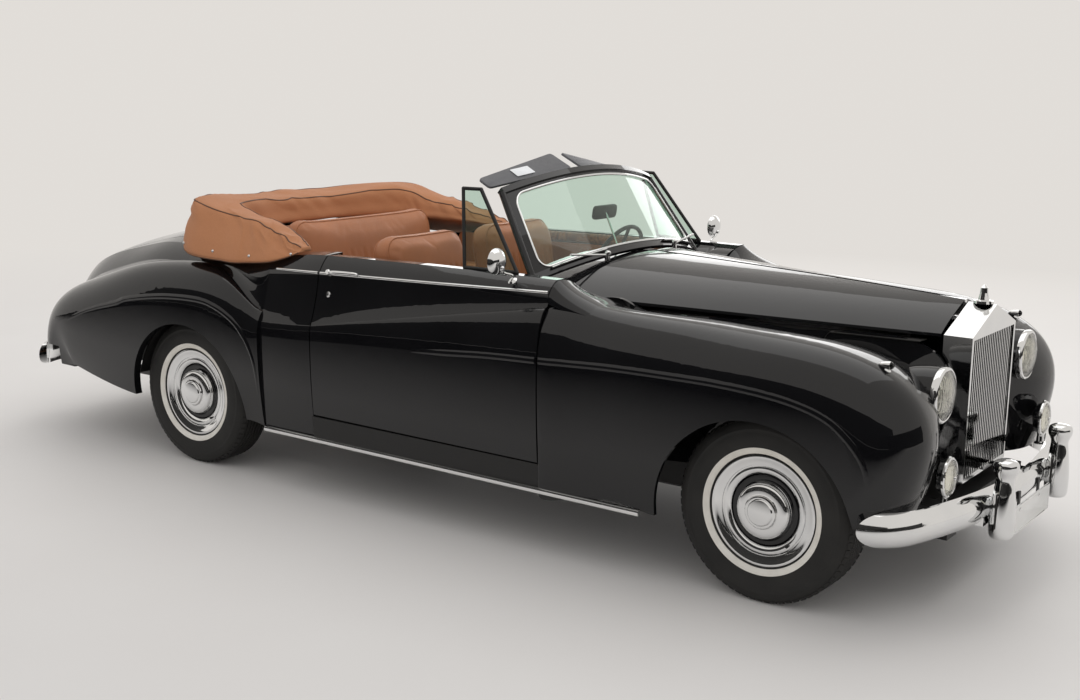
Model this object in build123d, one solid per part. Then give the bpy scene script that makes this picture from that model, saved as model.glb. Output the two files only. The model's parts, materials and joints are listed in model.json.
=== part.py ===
"""Two-door four-seat convertible car of about 1960, with its hood folded down, built as separate pieces.

Units are millimetres. +X is forward, +Y is the car's left and +Z is up. The origin is on the floor, under the
middle of the overall length and width. Pieces are made on the left, where Y is positive, and mirrored.
"""
import os
from math import atan2, cos, degrees, hypot, radians, sin

from build123d import *

# ---------------------------------------------------------------- driving dimensions
WHEELBASE = 3124
FRONT_AXLE_X = 1872
REAR_AXLE_X = FRONT_AXLE_X - WHEELBASE
FRONT_TRACK = 1486
REAR_TRACK = 1524
TYRE_R = 360                     # loaded radius, so the tyre just meets the floor
TYRE_W = 205
RIM_R = 212                      # outside of the rim's flange
KINGPIN_Y = FRONT_TRACK / 2 - 110

PANEL_GAP = 6                    # shut line between neighbouring panels
SKIN = 18                        # depth of a wing or lid with its folded edge
SIDE_WALL = 40                   # depth of the rear quarter with its trim
BONNET_SKIN = 12

DOOR_REAR_X = -370
DOOR_FRONT_X = 900
SILL_Z = 285
DOOR_BOTTOM_Z = 395

FRONT_ARCH = (1860, 315, 408)    # centre x, centre z, radius
REAR_ARCH = (-1235, 309, 406)

SCUTTLE_X = 874                  # rear end of the bonnet on the centre line
BONNET_FRONT_X = 2300
STRIP_HALF = 13                  # half the width of the centre hinge strip

# ---------------------------------------------------------------- section tables
# Front wing. Each row is one section. Its plane holds the Y direction and stands on a pivot line at
# (pivot x, pivot z), turned to the angle above the X axis, and the heights are measured out from the pivot.
NOSE_PIVOT = (1950, 390)
SKIRT_Z = 390                    # lower edge of the wing's inner skirt, which closes off the engine bay
#            pivot x  pivot z angle | skirt r | flange y  r | valley y  r | crown y   r | side y  r | bottom y  r
FRONT_WING = [
    (DOOR_FRONT_X + PANEL_GAP, 0, 90, SKIRT_Z, 615, 1020, 624, 1010, 800, 1052, 938, 800, 905, SILL_Z),
    (1150, 0, 90, SKIRT_Z, 555, 1010, 564, 993, 782, 1044, 940, 808, 906, SILL_Z),
    (1400, 0, 90, SKIRT_Z, 496, 1000, 505, 975, 765, 1036, 941, 816, 907, SILL_Z),
    (1600, 0, 90, SKIRT_Z, 450, 995, 459, 962, 750, 1031, 941, 820, 908, 290),
    (*NOSE_PIVOT, 90, 14, 372, 597, 384, 530, 735, 624, 936, 430, 910, 14),
    (*NOSE_PIVOT, 60, 14, 292, 645, 330, 560, 728, 640, 930, 425, 915, 14),
    (*NOSE_PIVOT, 30, 14, 292, 412, 440, 440, 715, 592, 922, 350, 916, 14),
    (*NOSE_PIVOT, 0, 14, 292, 325, 450, 335, 690, 448, 914, 240, 912, 14),
]
# Rear body. The rail is the edge of the deck, the belt is where the deck meets the wing. The quarter runs on
# from the door, and the rear wing stands out from it at the step.
TAIL_PIVOT = (-2150, 370)
#            pivot x  pivot z angle | deck r | rail y  r | belt y  r | crown y   r | side y  r | bottom y  r
QUARTER = [
    (DOOR_REAR_X - PANEL_GAP, 0, 90, 1140, 800, 1118, 862, 1035, 919, 810, 926, 740, 893, SILL_Z),
    (-540, 0, 90, 1128, 797, 1106, 859, 1023, 918, 800, 926, 730, 894, SILL_Z),
    (-705, 0, 90, 1108, 789, 1081, 851, 1008, 912, 795, 922, 725, 893, SILL_Z),
]
REAR_BODY = [
    (-705, 0, 90, 1108, 789, 1081, 851, 1008, 880, 842, 938, 715, 899, SILL_Z),
    (-900, 0, 90, 1088, 768, 1048, 834, 998, 856, 925, 942, 750, 901, SILL_Z),
    (-1170, 0, 90, 1096, 705, 1040, 772, 1006, 798, 1008, 945, 800, 904, 288),
    (-1420, 0, 90, 1128, 655, 1056, 738, 990, 788, 1000, 945, 790, 903, 296),
    (-1750, 0, 90, 1122, 592, 1046, 695, 962, 776, 946, 941, 740, 900, 312),
    (*TAIL_PIVOT, 90, 665, 545, 590, 655, 490, 742, 458, 925, 270, 888, 14),
    (*TAIL_PIVOT, 120, 618, 522, 552, 625, 450, 722, 420, 908, 250, 886, 14),
    (*TAIL_PIVOT, 150, 540, 510, 492, 605, 405, 698, 384, 890, 225, 884, 14),
    (*TAIL_PIVOT, 180, 458, 505, 430, 590, 368, 680, 352, 878, 180, 882, 14),
]
# Door, with the same rail, belt, crown and side as its neighbours.
#            x | rail y  z | belt y  z | crown y   z | side y  z | bottom y
DOOR = [
    (DOOR_REAR_X, 800, 1118, 862, 1035, 919, 810, 926, 740, 910),
    (300, 802, 1130, 864, 1062, 900, 930, 934, 780, 916),
    (DOOR_FRONT_X, 800, 1132, 862, 1080, 868, 1030, 938, 800, 920),
]
DOOR_DEPTH = 72
BELT_BULGE = -7                  # the side stands out this far between the belt and the crown
#            x | centre z | edge y  z | bulge
BONNET = [
    (700, 1182, 640, 1042, 46),
    (1250, 1163, 505, 1030, 34),
    (1800, 1138, 370, 1016, 22),
    (BONNET_FRONT_X, 1108, 255, 1006, 8),
]


# ---------------------------------------------------------------- helpers
def section_plane(x, z, angle):
    """The plane of a section: local x is +Y and local y points out from the pivot at the angle."""
    a = radians(angle)
    return Plane(origin=(x, 0, z), x_dir=(0, 1, 0), z_dir=(sin(a), 0, -cos(a)))


def arc_level_at(start, end):
    """An arc from start to end that is level, with no slope, where it meets end."""
    (y0, r0), (y1, r1) = start, end
    radius = ((y1 - y0) ** 2 + (r1 - r0) ** 2) / (2 * (r1 - r0))
    centre = Vector(y1, r1 - radius)
    half = (Vector(y0, r0) + Vector(y1, r1)) / 2 - centre
    mid = centre + half.normalized() * abs(radius)
    return ThreePointArc((y0, r0), (mid.X, mid.Y), (y1, r1))


def arc_upright_at(start, end):
    """An arc from start to end that is upright where it leaves start."""
    (y0, r0), (y1, r1) = start, end
    if abs(y1 - y0) < 0.5:
        return Line((y0, r0), (y1, r1))
    radius = ((y1 - y0) ** 2 + (r1 - r0) ** 2) / (2 * (y0 - y1))
    centre = Vector(y0 - radius, r0)
    half = (Vector(y0, r0) + Vector(y1, r1)) / 2 - centre
    mid = centre + half.normalized() * abs(radius)
    return ThreePointArc((y0, r0), (mid.X, mid.Y), (y1, r1))


def bulged(start, end, bulge):
    """An arc from start to end that stands bulge off the straight line, on the outer side."""
    a, b = Vector(*start), Vector(*end)
    along = (b - a).normalized()
    mid = (a + b) / 2 + Vector(-along.Y, along.X) * bulge
    return ThreePointArc(start, (mid.X, mid.Y), end)


def shoulder(crown, side):
    """A quarter of an ellipse, level at the crown and upright at the side."""
    (yc, rc), (ys, rs) = crown, side
    return EllipticalCenterArc((yc, rs), ys - yc, rc - rs, start_angle=0, arc_size=90)


def loft_bands(rows, outline):
    """Lofts one closed band section per table row. outline gives the section's edges in its plane."""
    wires = []
    for row in rows:
        plane = section_plane(*row[:3])
        wires.append(Wire([plane.from_local_coords(edge) for edge in outline(*row[3:])]))
    loft = Solid.make_loft(wires)
    return loft if loft.volume > 0 else Solid(loft.wrapped.Reversed())


def box(x0, x1, y0, y1, z0, z1):
    return Pos((x0 + x1) / 2, (y0 + y1) / 2, (z0 + z1) / 2) * Box(abs(x1 - x0), abs(y1 - y0), abs(z1 - z0))


def both(solid):
    """The piece and its mirror image on the other side, as one compound."""
    return Compound([solid, mirror(solid, Plane.XZ)])


def across(radius, x, z, y0, y1):
    """A cylinder across the car."""
    return Pos(x, (y0 + y1) / 2, z) * Rot(90, 0, 0) * Cylinder(radius, abs(y1 - y0))


def turned(points, origin, axis):
    """A solid of revolution. Each point is (distance along the axis, radius)."""
    z_dir = (0, 1, 0) if axis[2] else Vector(*axis).cross(Vector(0, 0, 1))
    plane = Plane(origin=origin, x_dir=axis, z_dir=z_dir)
    face = make_face(plane.from_local_coords(Polyline(*points, close=True)))
    return revolve(face, Axis(origin, axis))


def rod(start, end, radius):
    """A round bar between two points."""
    a, b = Vector(*start), Vector(*end)
    plane = Plane(origin=a, z_dir=b - a)
    return extrude(plane * Circle(radius), amount=(b - a).length)


def solid_of(shape):
    """The one solid of a boolean result, so that a piece never falls apart unseen."""
    solids = shape.solids()
    if len(solids) != 1:
        raise ValueError(f"expected one solid and got {len(solids)}")
    return solids[0]


nodes = {}


def add(name, shape):
    nodes[name] = shape


def add_pair(name, solid):
    add(name + "_left", solid)
    add(name + "_right", mirror(solid, Plane.XZ))


# ---------------------------------------------------------------- body panels
def wing_outline(low, fy, fr, vy, vr, cy, cr, sy, sr, by, br, depth=SKIN):
    return [
        Line((fy, fr), (vy, vr)),
        arc_level_at((vy, vr), (cy, cr)),
        shoulder((cy, cr), (sy, sr)),
        arc_upright_at((sy, sr), (by, br)),
        Line((by, br), (by - depth, br)),
        arc_upright_at((sy - depth, sr), (by - depth, br)),
        shoulder((cy, cr - depth), (sy - depth, sr)),
        arc_level_at((vy, vr - depth), (cy, cr - depth)),
        Line((vy, vr - depth), (vy, low)),
        Line((vy, low), (vy - depth, low)),
        Line((vy - depth, low), (fy - depth, fr)),
        Line((fy - depth, fr), (fy, fr)),
    ]


def front_wing():
    wing = loft_bands(FRONT_WING, wing_outline)
    x, z, radius = FRONT_ARCH
    behind_blade = box(2282, 2700, 0, 1000, 300, BLADE_CLEAR_Z)
    return solid_of(wing - across(radius, x, z, 455, 1000) - behind_blade - headlamp(1))


def deck_outline(dr, ty, tr, ey, er, cy, cr, sy, sr, by, br, depth=SKIN, wall=SIDE_WALL):
    left_outer = [
        bulged((ey, er), (ty, tr), -6),
        bulged((ey, er), (cy, cr), BELT_BULGE),
        shoulder((cy, cr), (sy, sr)),
        arc_upright_at((sy, sr), (by, br)),
        Line((by, br), (by - wall, br)),
    ]
    left_inner = [
        arc_upright_at((sy - wall, sr), (by - wall, br)),
        shoulder((cy - wall, cr - depth), (sy - wall, sr)),
        bulged((ey - wall, er - depth), (cy - wall, cr - depth), BELT_BULGE),
        bulged((ey - wall, er - depth), (ty - wall, tr - depth), -6),
    ]
    deck_outer = ThreePointArc((-ty, tr), (0, dr), (ty, tr))
    deck_inner = ThreePointArc((-ty + wall, tr - depth), (0, dr - depth), (ty - wall, tr - depth))
    left = left_outer + left_inner
    return [deck_outer, *left, deck_inner, *[edge.mirror(Plane.YZ) for edge in reversed(left)]]


LID = (-2900, -1560, 500, 1300, 520)     # rear x, front x, lower z, upper z, half width


def rear_body():
    """The quarters, the deck and the tail in one panel, open for the cabin and the boot."""
    shell = loft_bands(REAR_BODY, deck_outline) + loft_bands(QUARTER, deck_outline)
    x, z, radius = REAR_ARCH
    rear_x, front_x, low, high, width = LID
    for side in (-1, 1):
        shell = shell - across(radius, x, z, side * 700, side * 1000)
    cabin = box(-1390, -300, -700, 700, 900, 1300)
    boot = box(rear_x, front_x, -width, width, low, high)
    valance = box(-2700, -2280, -1000, 1000, 300, BLADE_CLEAR_Z)
    lamps = tail_lamp()
    return solid_of(shell - cabin - boot - valance - lamps - mirror(lamps, Plane.XZ))


def boot_lid():
    rear_x, front_x, low, high, width = LID
    g = PANEL_GAP
    shell = loft_bands(REAR_BODY, deck_outline)
    return solid_of(shell & box(rear_x, front_x - g, g - width, width - g, low + g, high))


def door():
    wires = []
    for x, ty, tz, ey, ez, cy, cz, sy, sz, by in DOOR:
        inner = sy - DOOR_DEPTH
        edges = [
            bulged((ey, ez), (ty, tz), -6),
            bulged((ey, ez), (cy, cz), BELT_BULGE),
            shoulder((cy, cz), (sy, sz)),
            arc_upright_at((sy, sz), (by, DOOR_BOTTOM_Z)),
            Line((by, DOOR_BOTTOM_Z), (inner - 8, DOOR_BOTTOM_Z)),
            Line((inner - 8, DOOR_BOTTOM_Z), (inner - 8, sz)),
            Line((inner - 8, sz), (ty - 62, tz - 60)),
            Line((ty - 62, tz - 60), (ty - 50, tz)),
            Line((ty - 50, tz), (ty, tz)),
        ]
        wires.append(Wire([section_plane(x, 0, 90).from_local_coords(e) for e in edges]))
    slab = Solid.make_loft(wires)
    # The rear edge is bevelled, so that its inner corner swings past the jamb.
    bevel = Pos(DOOR_REAR_X, 950, 700) * Rot(0, 0, -7.5) * Pos(-50, -200, 0) * Box(100, 500, 1200)
    return solid_of(slab - bevel)


def bonnet_rear_cutter(radius):
    """The rear shut line of the bonnet is an arc in plan, this far from its centre."""
    return Pos(SCUTTLE_X - 2180, 0, 1000) * Cylinder(radius, 600)


def bonnet():
    wires = []
    for x, cz, ey, ez, bulge in BONNET:
        s, t = STRIP_HALF, BONNET_SKIN
        edges = [
            bulged((s, cz), (ey, ez), bulge),
            Line((ey, ez), (ey, ez - t)),
            bulged((s, cz - t), (ey, ez - t), bulge),
            Line((s, cz - t), (s, cz)),
        ]
        wires.append(Wire([section_plane(x, 0, 90).from_local_coords(e) for e in edges]))
    half = Solid.make_loft(wires)
    return solid_of(half - bonnet_rear_cutter(2180))


#            x | centre z | edge y  z
SCUTTLE = [
    (560, 1152, 640, 1072),
    (705, 1162, 640, 1062),
    (868, 1168, 640, 1040),
]


def scuttle():
    """The panel between the bonnet and the windscreen."""
    wires = []
    for x, cz, ey, ez in SCUTTLE:
        arc = ThreePointArc((ey, ez), (0, cz), (-ey, ez))
        low = ThreePointArc((-ey, ez - 14), (0, cz - 14), (ey, ez - 14))
        edges = [
            arc,
            Line((-ey, ez), (-728, ez + 6)),
            Line((-728, ez + 6), (-728, ez - 8)),
            Line((-728, ez - 8), (-ey, ez - 14)),
            low,
            Line((ey, ez - 14), (728, ez - 8)),
            Line((728, ez - 8), (728, ez + 6)),
            Line((728, ez + 6), (ey, ez)),
        ]
        wires.append(Wire([section_plane(x, 0, 90).from_local_coords(e) for e in edges]))
    panel = Solid.make_loft(wires)
    return solid_of(panel & bonnet_rear_cutter(2180 - PANEL_GAP))


# ---------------------------------------------------------------- frame, floor and running gear
RAIL_Y = (330, 430)
RAIL_PROFILE = [(2440, 260), (2440, 380), (-640, 380), (-900, 560), (-1600, 560), (-1800, 420), (-2480, 420),
                (-2480, 330), (-1780, 330), (-1600, 450), (-900, 450), (-640, 260)]
JACK_X = (-300, 820)             # jacking sockets in the underside of the sills
JACK_Y, JACK_R, JACK_DEPTH = 745, 16, 70
JACK_Z, FLOOR_Z = 292, 380
ARM_Z = (232, 488)               # heights of the lower and upper front suspension arms
WHEEL_Z = TYRE_R
SPINDLE_R = 20


def chassis_frame():
    outline = Plane(origin=(0, RAIL_Y[0], 0), x_dir=(1, 0, 0), z_dir=(0, -1, 0)) * make_face(
        Polyline(*RAIL_PROFILE, close=True))
    rail = extrude(outline, amount=-(RAIL_Y[1] - RAIL_Y[0]))
    tower = box(FRONT_AXLE_X - 80, FRONT_AXLE_X + 80, RAIL_Y[1], RAIL_Y[1] + 30, 215, 380)
    cross = box(2340, 2430, 0, RAIL_Y[0], 270, 370)
    for x, z in ((FRONT_AXLE_X - 45, 270), (900, 290), (-620, 290), (-1645, 460), (-2460, 340)):
        cross += box(x, x + 90, 0, RAIL_Y[0], z, z + 80)
    half = rail + tower + cross
    return solid_of(half + mirror(half, Plane.XZ))


def floor_and_bulkhead():
    """The cabin floor, the bulkhead behind the engine, the sills and the boot's floor."""
    outline = [(780, SILL_Z), (903, SILL_Z), (914, DOOR_BOTTOM_Z - 8), (780, DOOR_BOTTOM_Z - 8)]
    face = Plane(origin=(DOOR_REAR_X - PANEL_GAP, 0, 0), x_dir=(0, 1, 0), z_dir=(1, 0, 0)) * make_face(
        Polyline(*outline, close=True))
    half = extrude(face, amount=DOOR_FRONT_X - DOOR_REAR_X + 2 * PANEL_GAP)
    half += box(-640, 1200, 0, 780, FLOOR_Z, FLOOR_Z + 10)
    half += box(1190, 1200, 0, 500, FLOOR_Z + 10, 1000)
    half += box(-640, -630, 0, 780, FLOOR_Z, 600)
    return solid_of(half + mirror(half, Plane.XZ))


def jack_sockets():
    """Four bored blocks under the floor, against the sills."""
    blocks = []
    for x in JACK_X:
        for side in (-1, 1):
            block = box(x - 34, x + 34, side * (JACK_Y - 34), side * (JACK_Y + 34), JACK_Z, FLOOR_Z)
            blocks.append(block - Pos(x, side * JACK_Y, JACK_Z) * Cylinder(JACK_R, 2 * JACK_DEPTH))
    return Compound(blocks)


def boot_floor():
    """The floor of the boot, the bulkhead behind the rear seat and the rear wheel housings."""
    x, z, radius = REAR_ARCH
    house = across(radius + 34, x, z, 560, 850) - across(radius + 26, x, z, 566, 851)
    house = house & box(x - 600, x + 600, 500, 900, 405, 900)
    half = house + box(-2300, -1000, 0, 566, 562, 570)
    half += box(-1008, -1000, 0, 566, 570, 1000)
    return solid_of(half + mirror(half, Plane.XZ))


def rear_axle():
    axle = rod((REAR_AXLE_X, -676, WHEEL_Z), (REAR_AXLE_X, 676, WHEEL_Z), 38)
    axle += Pos(REAR_AXLE_X, 0, WHEEL_Z) * Sphere(84)
    for side in (-1, 1):
        axle += across(150, REAR_AXLE_X, WHEEL_Z, side * 676, side * 683)
        axle += across(SPINDLE_R, REAR_AXLE_X, WHEEL_Z, side * 683, side * (REAR_TRACK / 2 - 30))
        axle += box(REAR_AXLE_X - 60, REAR_AXLE_X + 60, side * 500 - 32, side * 500 + 32, 292, 345)
        axle += box(-1900, -600, side * 500 - 30, side * 500 + 30, 292, 312)
        for x in (-1900, -620):
            axle += box(x, x + 20, side * 500 - 30, side * 500 + 30, 292, 360)
            axle += box(x, x + 20, side * 430, side * 530, 340, 360)
    return solid_of(axle)


def front_suspension():
    """A tower and two wishbones on each side. Each wishbone ends in an eye round the king pin."""
    inner, half, bar = RAIL_Y[1] + 30, 80, 20
    plan = make_face(Polyline((-half, inner), (half, inner), (bar, KINGPIN_Y), (-bar, KINGPIN_Y), close=True))
    gap = make_face(Polyline((24 - half, inner + 26), (half - 24, inner + 26), (0, KINGPIN_Y - 60), close=True))
    arm = extrude(plan - gap, amount=12, both=True) + Pos(0, KINGPIN_Y, 0) * Cylinder(22, 24)
    arm -= Pos(0, KINGPIN_Y, 0) * Cylinder(12.5, 40)
    tower = box(-60, 60, inner, inner + 20, ARM_Z[0], ARM_Z[1])
    whole = tower + Pos(0, 0, ARM_Z[0]) * arm + Pos(0, 0, ARM_Z[1]) * arm
    return both(Pos(FRONT_AXLE_X, 0, 0) * solid_of(whole))


def knuckle():
    """The left steering knuckle, with its king pin, back plate and spindle."""
    pin = Pos(FRONT_AXLE_X, KINGPIN_Y, WHEEL_Z) * Cylinder(12, ARM_Z[1] - ARM_Z[0] + 40)
    upright = Pos(FRONT_AXLE_X, KINGPIN_Y, WHEEL_Z) * Cylinder(22, ARM_Z[1] - ARM_Z[0] - 34)
    plate_y = FRONT_TRACK / 2 - 86
    plate = across(150, FRONT_AXLE_X, WHEEL_Z, plate_y, plate_y + 7)
    stub = across(34, FRONT_AXLE_X, WHEEL_Z, KINGPIN_Y, plate_y + 7)
    spindle = across(SPINDLE_R, FRONT_AXLE_X, WHEEL_Z, plate_y, FRONT_TRACK / 2 - 30)
    arm = rod((FRONT_AXLE_X, KINGPIN_Y, 300), (FRONT_AXLE_X - 130, KINGPIN_Y - 22, 300), 12)
    return solid_of(pin + upright + plate + stub + spindle + arm)


# (distance out from the wheel's middle plane, radius)
TYRE_PROFILE = [(-76, 213), (-97, 240), (-102, 285), (-96, 328), (-72, 356), (-60, TYRE_R), (60, TYRE_R),
                (72, 356), (96, 328), (102, 285), (97, 240), (76, 213), (70, 213), (84, 250), (86, 310),
                (60, 340), (-60, 340), (-86, 310), (-84, 250), (-70, 213)]
WHEEL_PROFILE = [(-78, 196), (-78, 212), (-70, 213), (-64, 196), (64, 196), (70, 213), (79, 213), (80, 209),
                 (66, 172), (60, 140), (66, 136), (66, 108), (92, 100), (96, 66), (104, 62), (106, 50),
                 (110, 48), (112, 0), (-20, 0), (-20, 21), (-70, 21), (-70, 150), (-10, 150), (-10, 120),
                 (30, 120), (40, 189), (-78, 189)]


def tyre(x, side, track):
    return turned(TYRE_PROFILE, (x, side * track / 2, WHEEL_Z), (0, side, 0))


def wheel(x, side, track):
    return turned(WHEEL_PROFILE, (x, side * track / 2, WHEEL_Z), (0, side, 0))


def engine_block():
    block = box(1250, 2030, -150, 150, 400, 840)
    return solid_of(block + box(1290, 1990, -250, 250, 640, 900))


def exhaust():
    pipe = rod((1200, -270, 226), (-2600, -270, 226), 26) + rod((-100, -270, 226), (500, -270, 226), 60)
    pipe += rod((1200, -270, 226), (1380, -240, 642), 26) + Pos(1200, -270, 226) * Sphere(26)
    for x, top in ((945, 290), (-575, 290), (-1600, 460)):
        pipe += box(x - 15, x + 15, -276, -264, 240, top)
    return solid_of(pipe - engine_block())


# ---------------------------------------------------------------- radiator, lamps and bumpers
RAD_FRONT_X, RAD_DEPTH = 2422, 112
RAD_HALF, RAD_LOW, RAD_CORNER_Z, RAD_PEAK_Z = 254, 435, 1002, 1100
VANE_COUNT, VANE_THICK, VANE_DEPTH = 22, 7, 40


def radiator_shell():
    rear_x = RAD_FRONT_X - RAD_DEPTH
    plane = Plane(origin=(rear_x, 0, 0), x_dir=(0, 1, 0), z_dir=(1, 0, 0))
    outline = Polyline((-RAD_HALF + 8, RAD_LOW), (RAD_HALF - 8, RAD_LOW), (RAD_HALF, RAD_CORNER_Z),
                       (0, RAD_PEAK_Z), (-RAD_HALF, RAD_CORNER_Z), close=True)
    shell = extrude(plane * make_face(outline), amount=RAD_DEPTH)
    opening = box(rear_x + 20, RAD_FRONT_X + 1, -RAD_HALF + 18, RAD_HALF - 18, RAD_LOW + 18, RAD_CORNER_Z - 12)
    return solid_of(shell - opening)


def radiator_vanes():
    width = 2 * (RAD_HALF - 18)
    pitch = width / VANE_COUNT
    front_x = RAD_FRONT_X - 4
    vanes = box(RAD_FRONT_X - RAD_DEPTH + 20, RAD_FRONT_X - RAD_DEPTH + 26, -width / 2, width / 2,
                RAD_LOW + 18, RAD_CORNER_Z - 12)
    for i in range(VANE_COUNT):
        y = -width / 2 + pitch * (i + 0.5)
        vanes += box(RAD_FRONT_X - RAD_DEPTH + 26, front_x, y - VANE_THICK / 2, y + VANE_THICK / 2,
                     RAD_LOW + 18, RAD_CORNER_Z - 12)
    return solid_of(vanes)


def filler_cap():
    return turned([(0, 0), (0, 40), (10, 38), (14, 22), (40, 16), (60, 14), (74, 0)], (2368, 0, RAD_PEAK_Z), (0, 0, 1))


HEADLAMP = (2400, 488, 824)
FOG_LAMP = (2478, 570, 545)
LAMP_R = 106


def headlamp(side):
    x, y, z = HEADLAMP
    return turned([(-160, 0), (-160, 40), (-90, 88), (-20, 100), (-8, LAMP_R), (4, LAMP_R), (10, 98),
                   (22, 60), (30, 0)], (x, side * y, z), (1, 0, 0))


def front_lamps():
    lamps = []
    for side in (-1, 1):
        lamps.append(headlamp(side))
        x, y, z = FOG_LAMP
        lamp = turned([(-44, 0), (-40, 30), (-26, 60), (-6, 70), (-2, 75), (6, 75), (10, 69), (20, 40), (24, 0)],
                      (x, side * y, z), (1, 0, 0))
        lamp += rod((x - 8, side * y, z - 60), (x - 8, side * y, 430), 12)
        lamps.append(lamp)
    return Compound(lamps)


BLADE_Z, BLADE_HEIGHT, BLADE_DEPTH = 397, 130, 40
BUMPER_END_LENGTH = 80           # the blade's ends taper to a rounded tip
BLADE_CLEAR_Z = BLADE_Z + BLADE_HEIGHT / 2 + PANEL_GAP     # the panels behind a blade end above it
#               middle x | plan radius | bend y | tip x  y | rider y  x
FRONT_BUMPER = (2602, 2400, 780, 2290, 940, 343, 2612)
REAR_BUMPER = (-2650, 3600, 720, -2440, 905, 550, -2636)


def bumper(middle_x, plan_radius, bend_y, tip_x, tip_y, rider_y, rider_x, rail_end):
    """A blade with a D section swept along its plan, two overriders and the brackets to the frame."""
    ahead = 1 if middle_x > 0 else -1
    sag = plan_radius - (plan_radius ** 2 - bend_y ** 2) ** 0.5
    half_sag = plan_radius - (plan_radius ** 2 - bend_y ** 2 / 4) ** 0.5
    bend = (middle_x - ahead * sag, bend_y)
    middle = ThreePointArc((middle_x, 0), (middle_x - ahead * half_sag, bend_y / 2), bend)
    corner = TangentArc(bend, (tip_x, tip_y), tangent=middle % 1)
    path = Pos(0, 0, BLADE_Z) * Wire([middle, corner])
    h, d = BLADE_HEIGHT / 2, BLADE_DEPTH
    front = ThreePointArc((-ahead * d, -h), (0, 0), (-ahead * d, h))
    plane = Plane(origin=(middle_x, 0, BLADE_Z), x_dir=(1, 0, 0), z_dir=(0, -1, 0))
    half = sweep(plane * make_face([front, Line((-ahead * d, h), (-ahead * d, -h))]), path=path)
    end_x = tip_x + ahead * BUMPER_END_LENGTH
    keep = box(end_x, middle_x + ahead * 10, -1, 1000, BLADE_Z - h - 1, BLADE_Z + h + 1)
    oval = Plane(origin=(end_x, 0, BLADE_Z), x_dir=(1, 0, 0), z_dir=(0, -1, 0)) * Ellipse(BUMPER_END_LENGTH, h)
    half = half & (keep + extrude(oval, amount=-1000))
    half += turned([(283, 0), (285, 30), (300, 44), (360, 47), (440, 40), (515, 31), (540, 44), (560, 47),
                    (578, 36), (584, 0)], (rider_x, rider_y, 0), (0, 0, 1))
    half += box(middle_x - ahead * (BLADE_DEPTH - 2), rail_end, RAIL_Y[0] + 20, RAIL_Y[1] - 20, 335, 367)
    return solid_of(half + mirror(half, Plane.XZ))


def tail_lamp():
    return turned([(0, 0), (0, 40), (62, 40), (74, 34), (86, 20), (90, 0)], (-2385, 715, 650), (-1, 0, 0))


# ---------------------------------------------------------------- windscreen
SCREEN_BASE = (690, 1100, 45, 118, 676)       # pivot x, pivot z, angle, rise at the middle, half width
SCREEN_TOP = (462, 1444, 50, 96, 596)


def screen_arc_band(x, z, angle, rise, half, out, back):
    y, r = half, 0
    edges = [
        ThreePointArc((-y, r + out), (0, rise + out), (y, r + out)),
        Line((y, r + out), (y, r - back)),
        ThreePointArc((y, r - back), (0, rise - back), (-y, r - back)),
        Line((-y, r - back), (-y, r + out)),
    ]
    return Wire([section_plane(x, z, angle).from_local_coords(e) for e in edges])


def windscreen_glass():
    rows = []
    for x, z, angle, rise, half in (SCREEN_BASE, SCREEN_TOP):
        rows.append(screen_arc_band(x, z, angle, rise, half - 14, 3, 3))
    return solid_of(Solid.make_loft(rows, True) - scuttle())


def windscreen_frame():
    parts = None
    for (x, z, angle, rise, half), deep in ((SCREEN_BASE, 11), (SCREEN_TOP, 15)):
        a = radians(angle)
        n = (sin(a), 0, -cos(a))
        wire = screen_arc_band(x, z, angle, rise, half + 6, deep, deep)
        bar = extrude(Face(wire), amount=15, dir=n, both=True)
        parts = bar if parts is None else parts + bar
    for side in (-1, 1):
        bottom = (SCREEN_BASE[0] + 2, side * (SCREEN_BASE[4] + 2), SCREEN_BASE[1])
        top = (SCREEN_TOP[0] + 2, side * (SCREEN_TOP[4] + 2), SCREEN_TOP[1])
        parts += rod(bottom, top, 16)
    return solid_of(parts - windscreen_glass() - scuttle())


def sun_visors():
    visors = []
    for side in (-1, 1):
        along = Vector(-46, side * 520, -74)
        back = Vector(-170, 0, 30)
        normal = along.cross(back) if side > 0 else back.cross(along)
        plane = Plane(origin=(478, side * 300, 1522), x_dir=along, z_dir=normal)
        reach = 170 if side > 0 else -170
        outline = Polyline((-262, 0), (262, 0), (240, reach), (-215, reach), close=True)
        visors.append(extrude(plane * make_face(outline), amount=6, both=True))
    return Compound(visors)


def vent_window():
    """The quarter light's frame on the left door, with the mirror on its stalk."""
    corners = [(672, 764, 1136), (414, 790, 1136), (346, 716, 1462), (430, 700, 1462)]
    frame = None
    for a, b in zip(corners, corners[1:] + corners[:1]):
        bar = rod(a, b, 8) + Pos(*b) * Sphere(8)
        frame = bar if frame is None else frame + bar
    return solid_of(frame - door() - vent_glass())


def vent_glass():
    corners = [(664, 765, 1140), (420, 789, 1140), (354, 717, 1456), (428, 702, 1456)]
    normal = (Vector(*corners[1]) - Vector(*corners[0])).cross(Vector(*corners[2]) - Vector(*corners[0]))
    plane = Plane(origin=corners[0], x_dir=Vector(*corners[1]) - Vector(*corners[0]), z_dir=normal)
    flat = [plane.to_local_coords(Vector(*c)) for c in corners]
    outline = Polyline(*[(c.X, c.Y) for c in flat], close=True)
    return extrude(plane * make_face(outline), amount=2, both=True)


def door_mirror():
    stalk = rod((700, 840, 1128), (690, 892, 1190), 6)
    return stalk + turned([(0, 0), (0, 52), (8, 54), (26, 44), (34, 0)], (672, 905, 1196), (1, 0, 0))


def wipers():
    spindle = Pos(806, 286, 1166) * Cylinder(12, 26) - scuttle()
    return both(solid_of(spindle + rod((806, 286, 1176), (772, 520, 1196), 5)))


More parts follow.
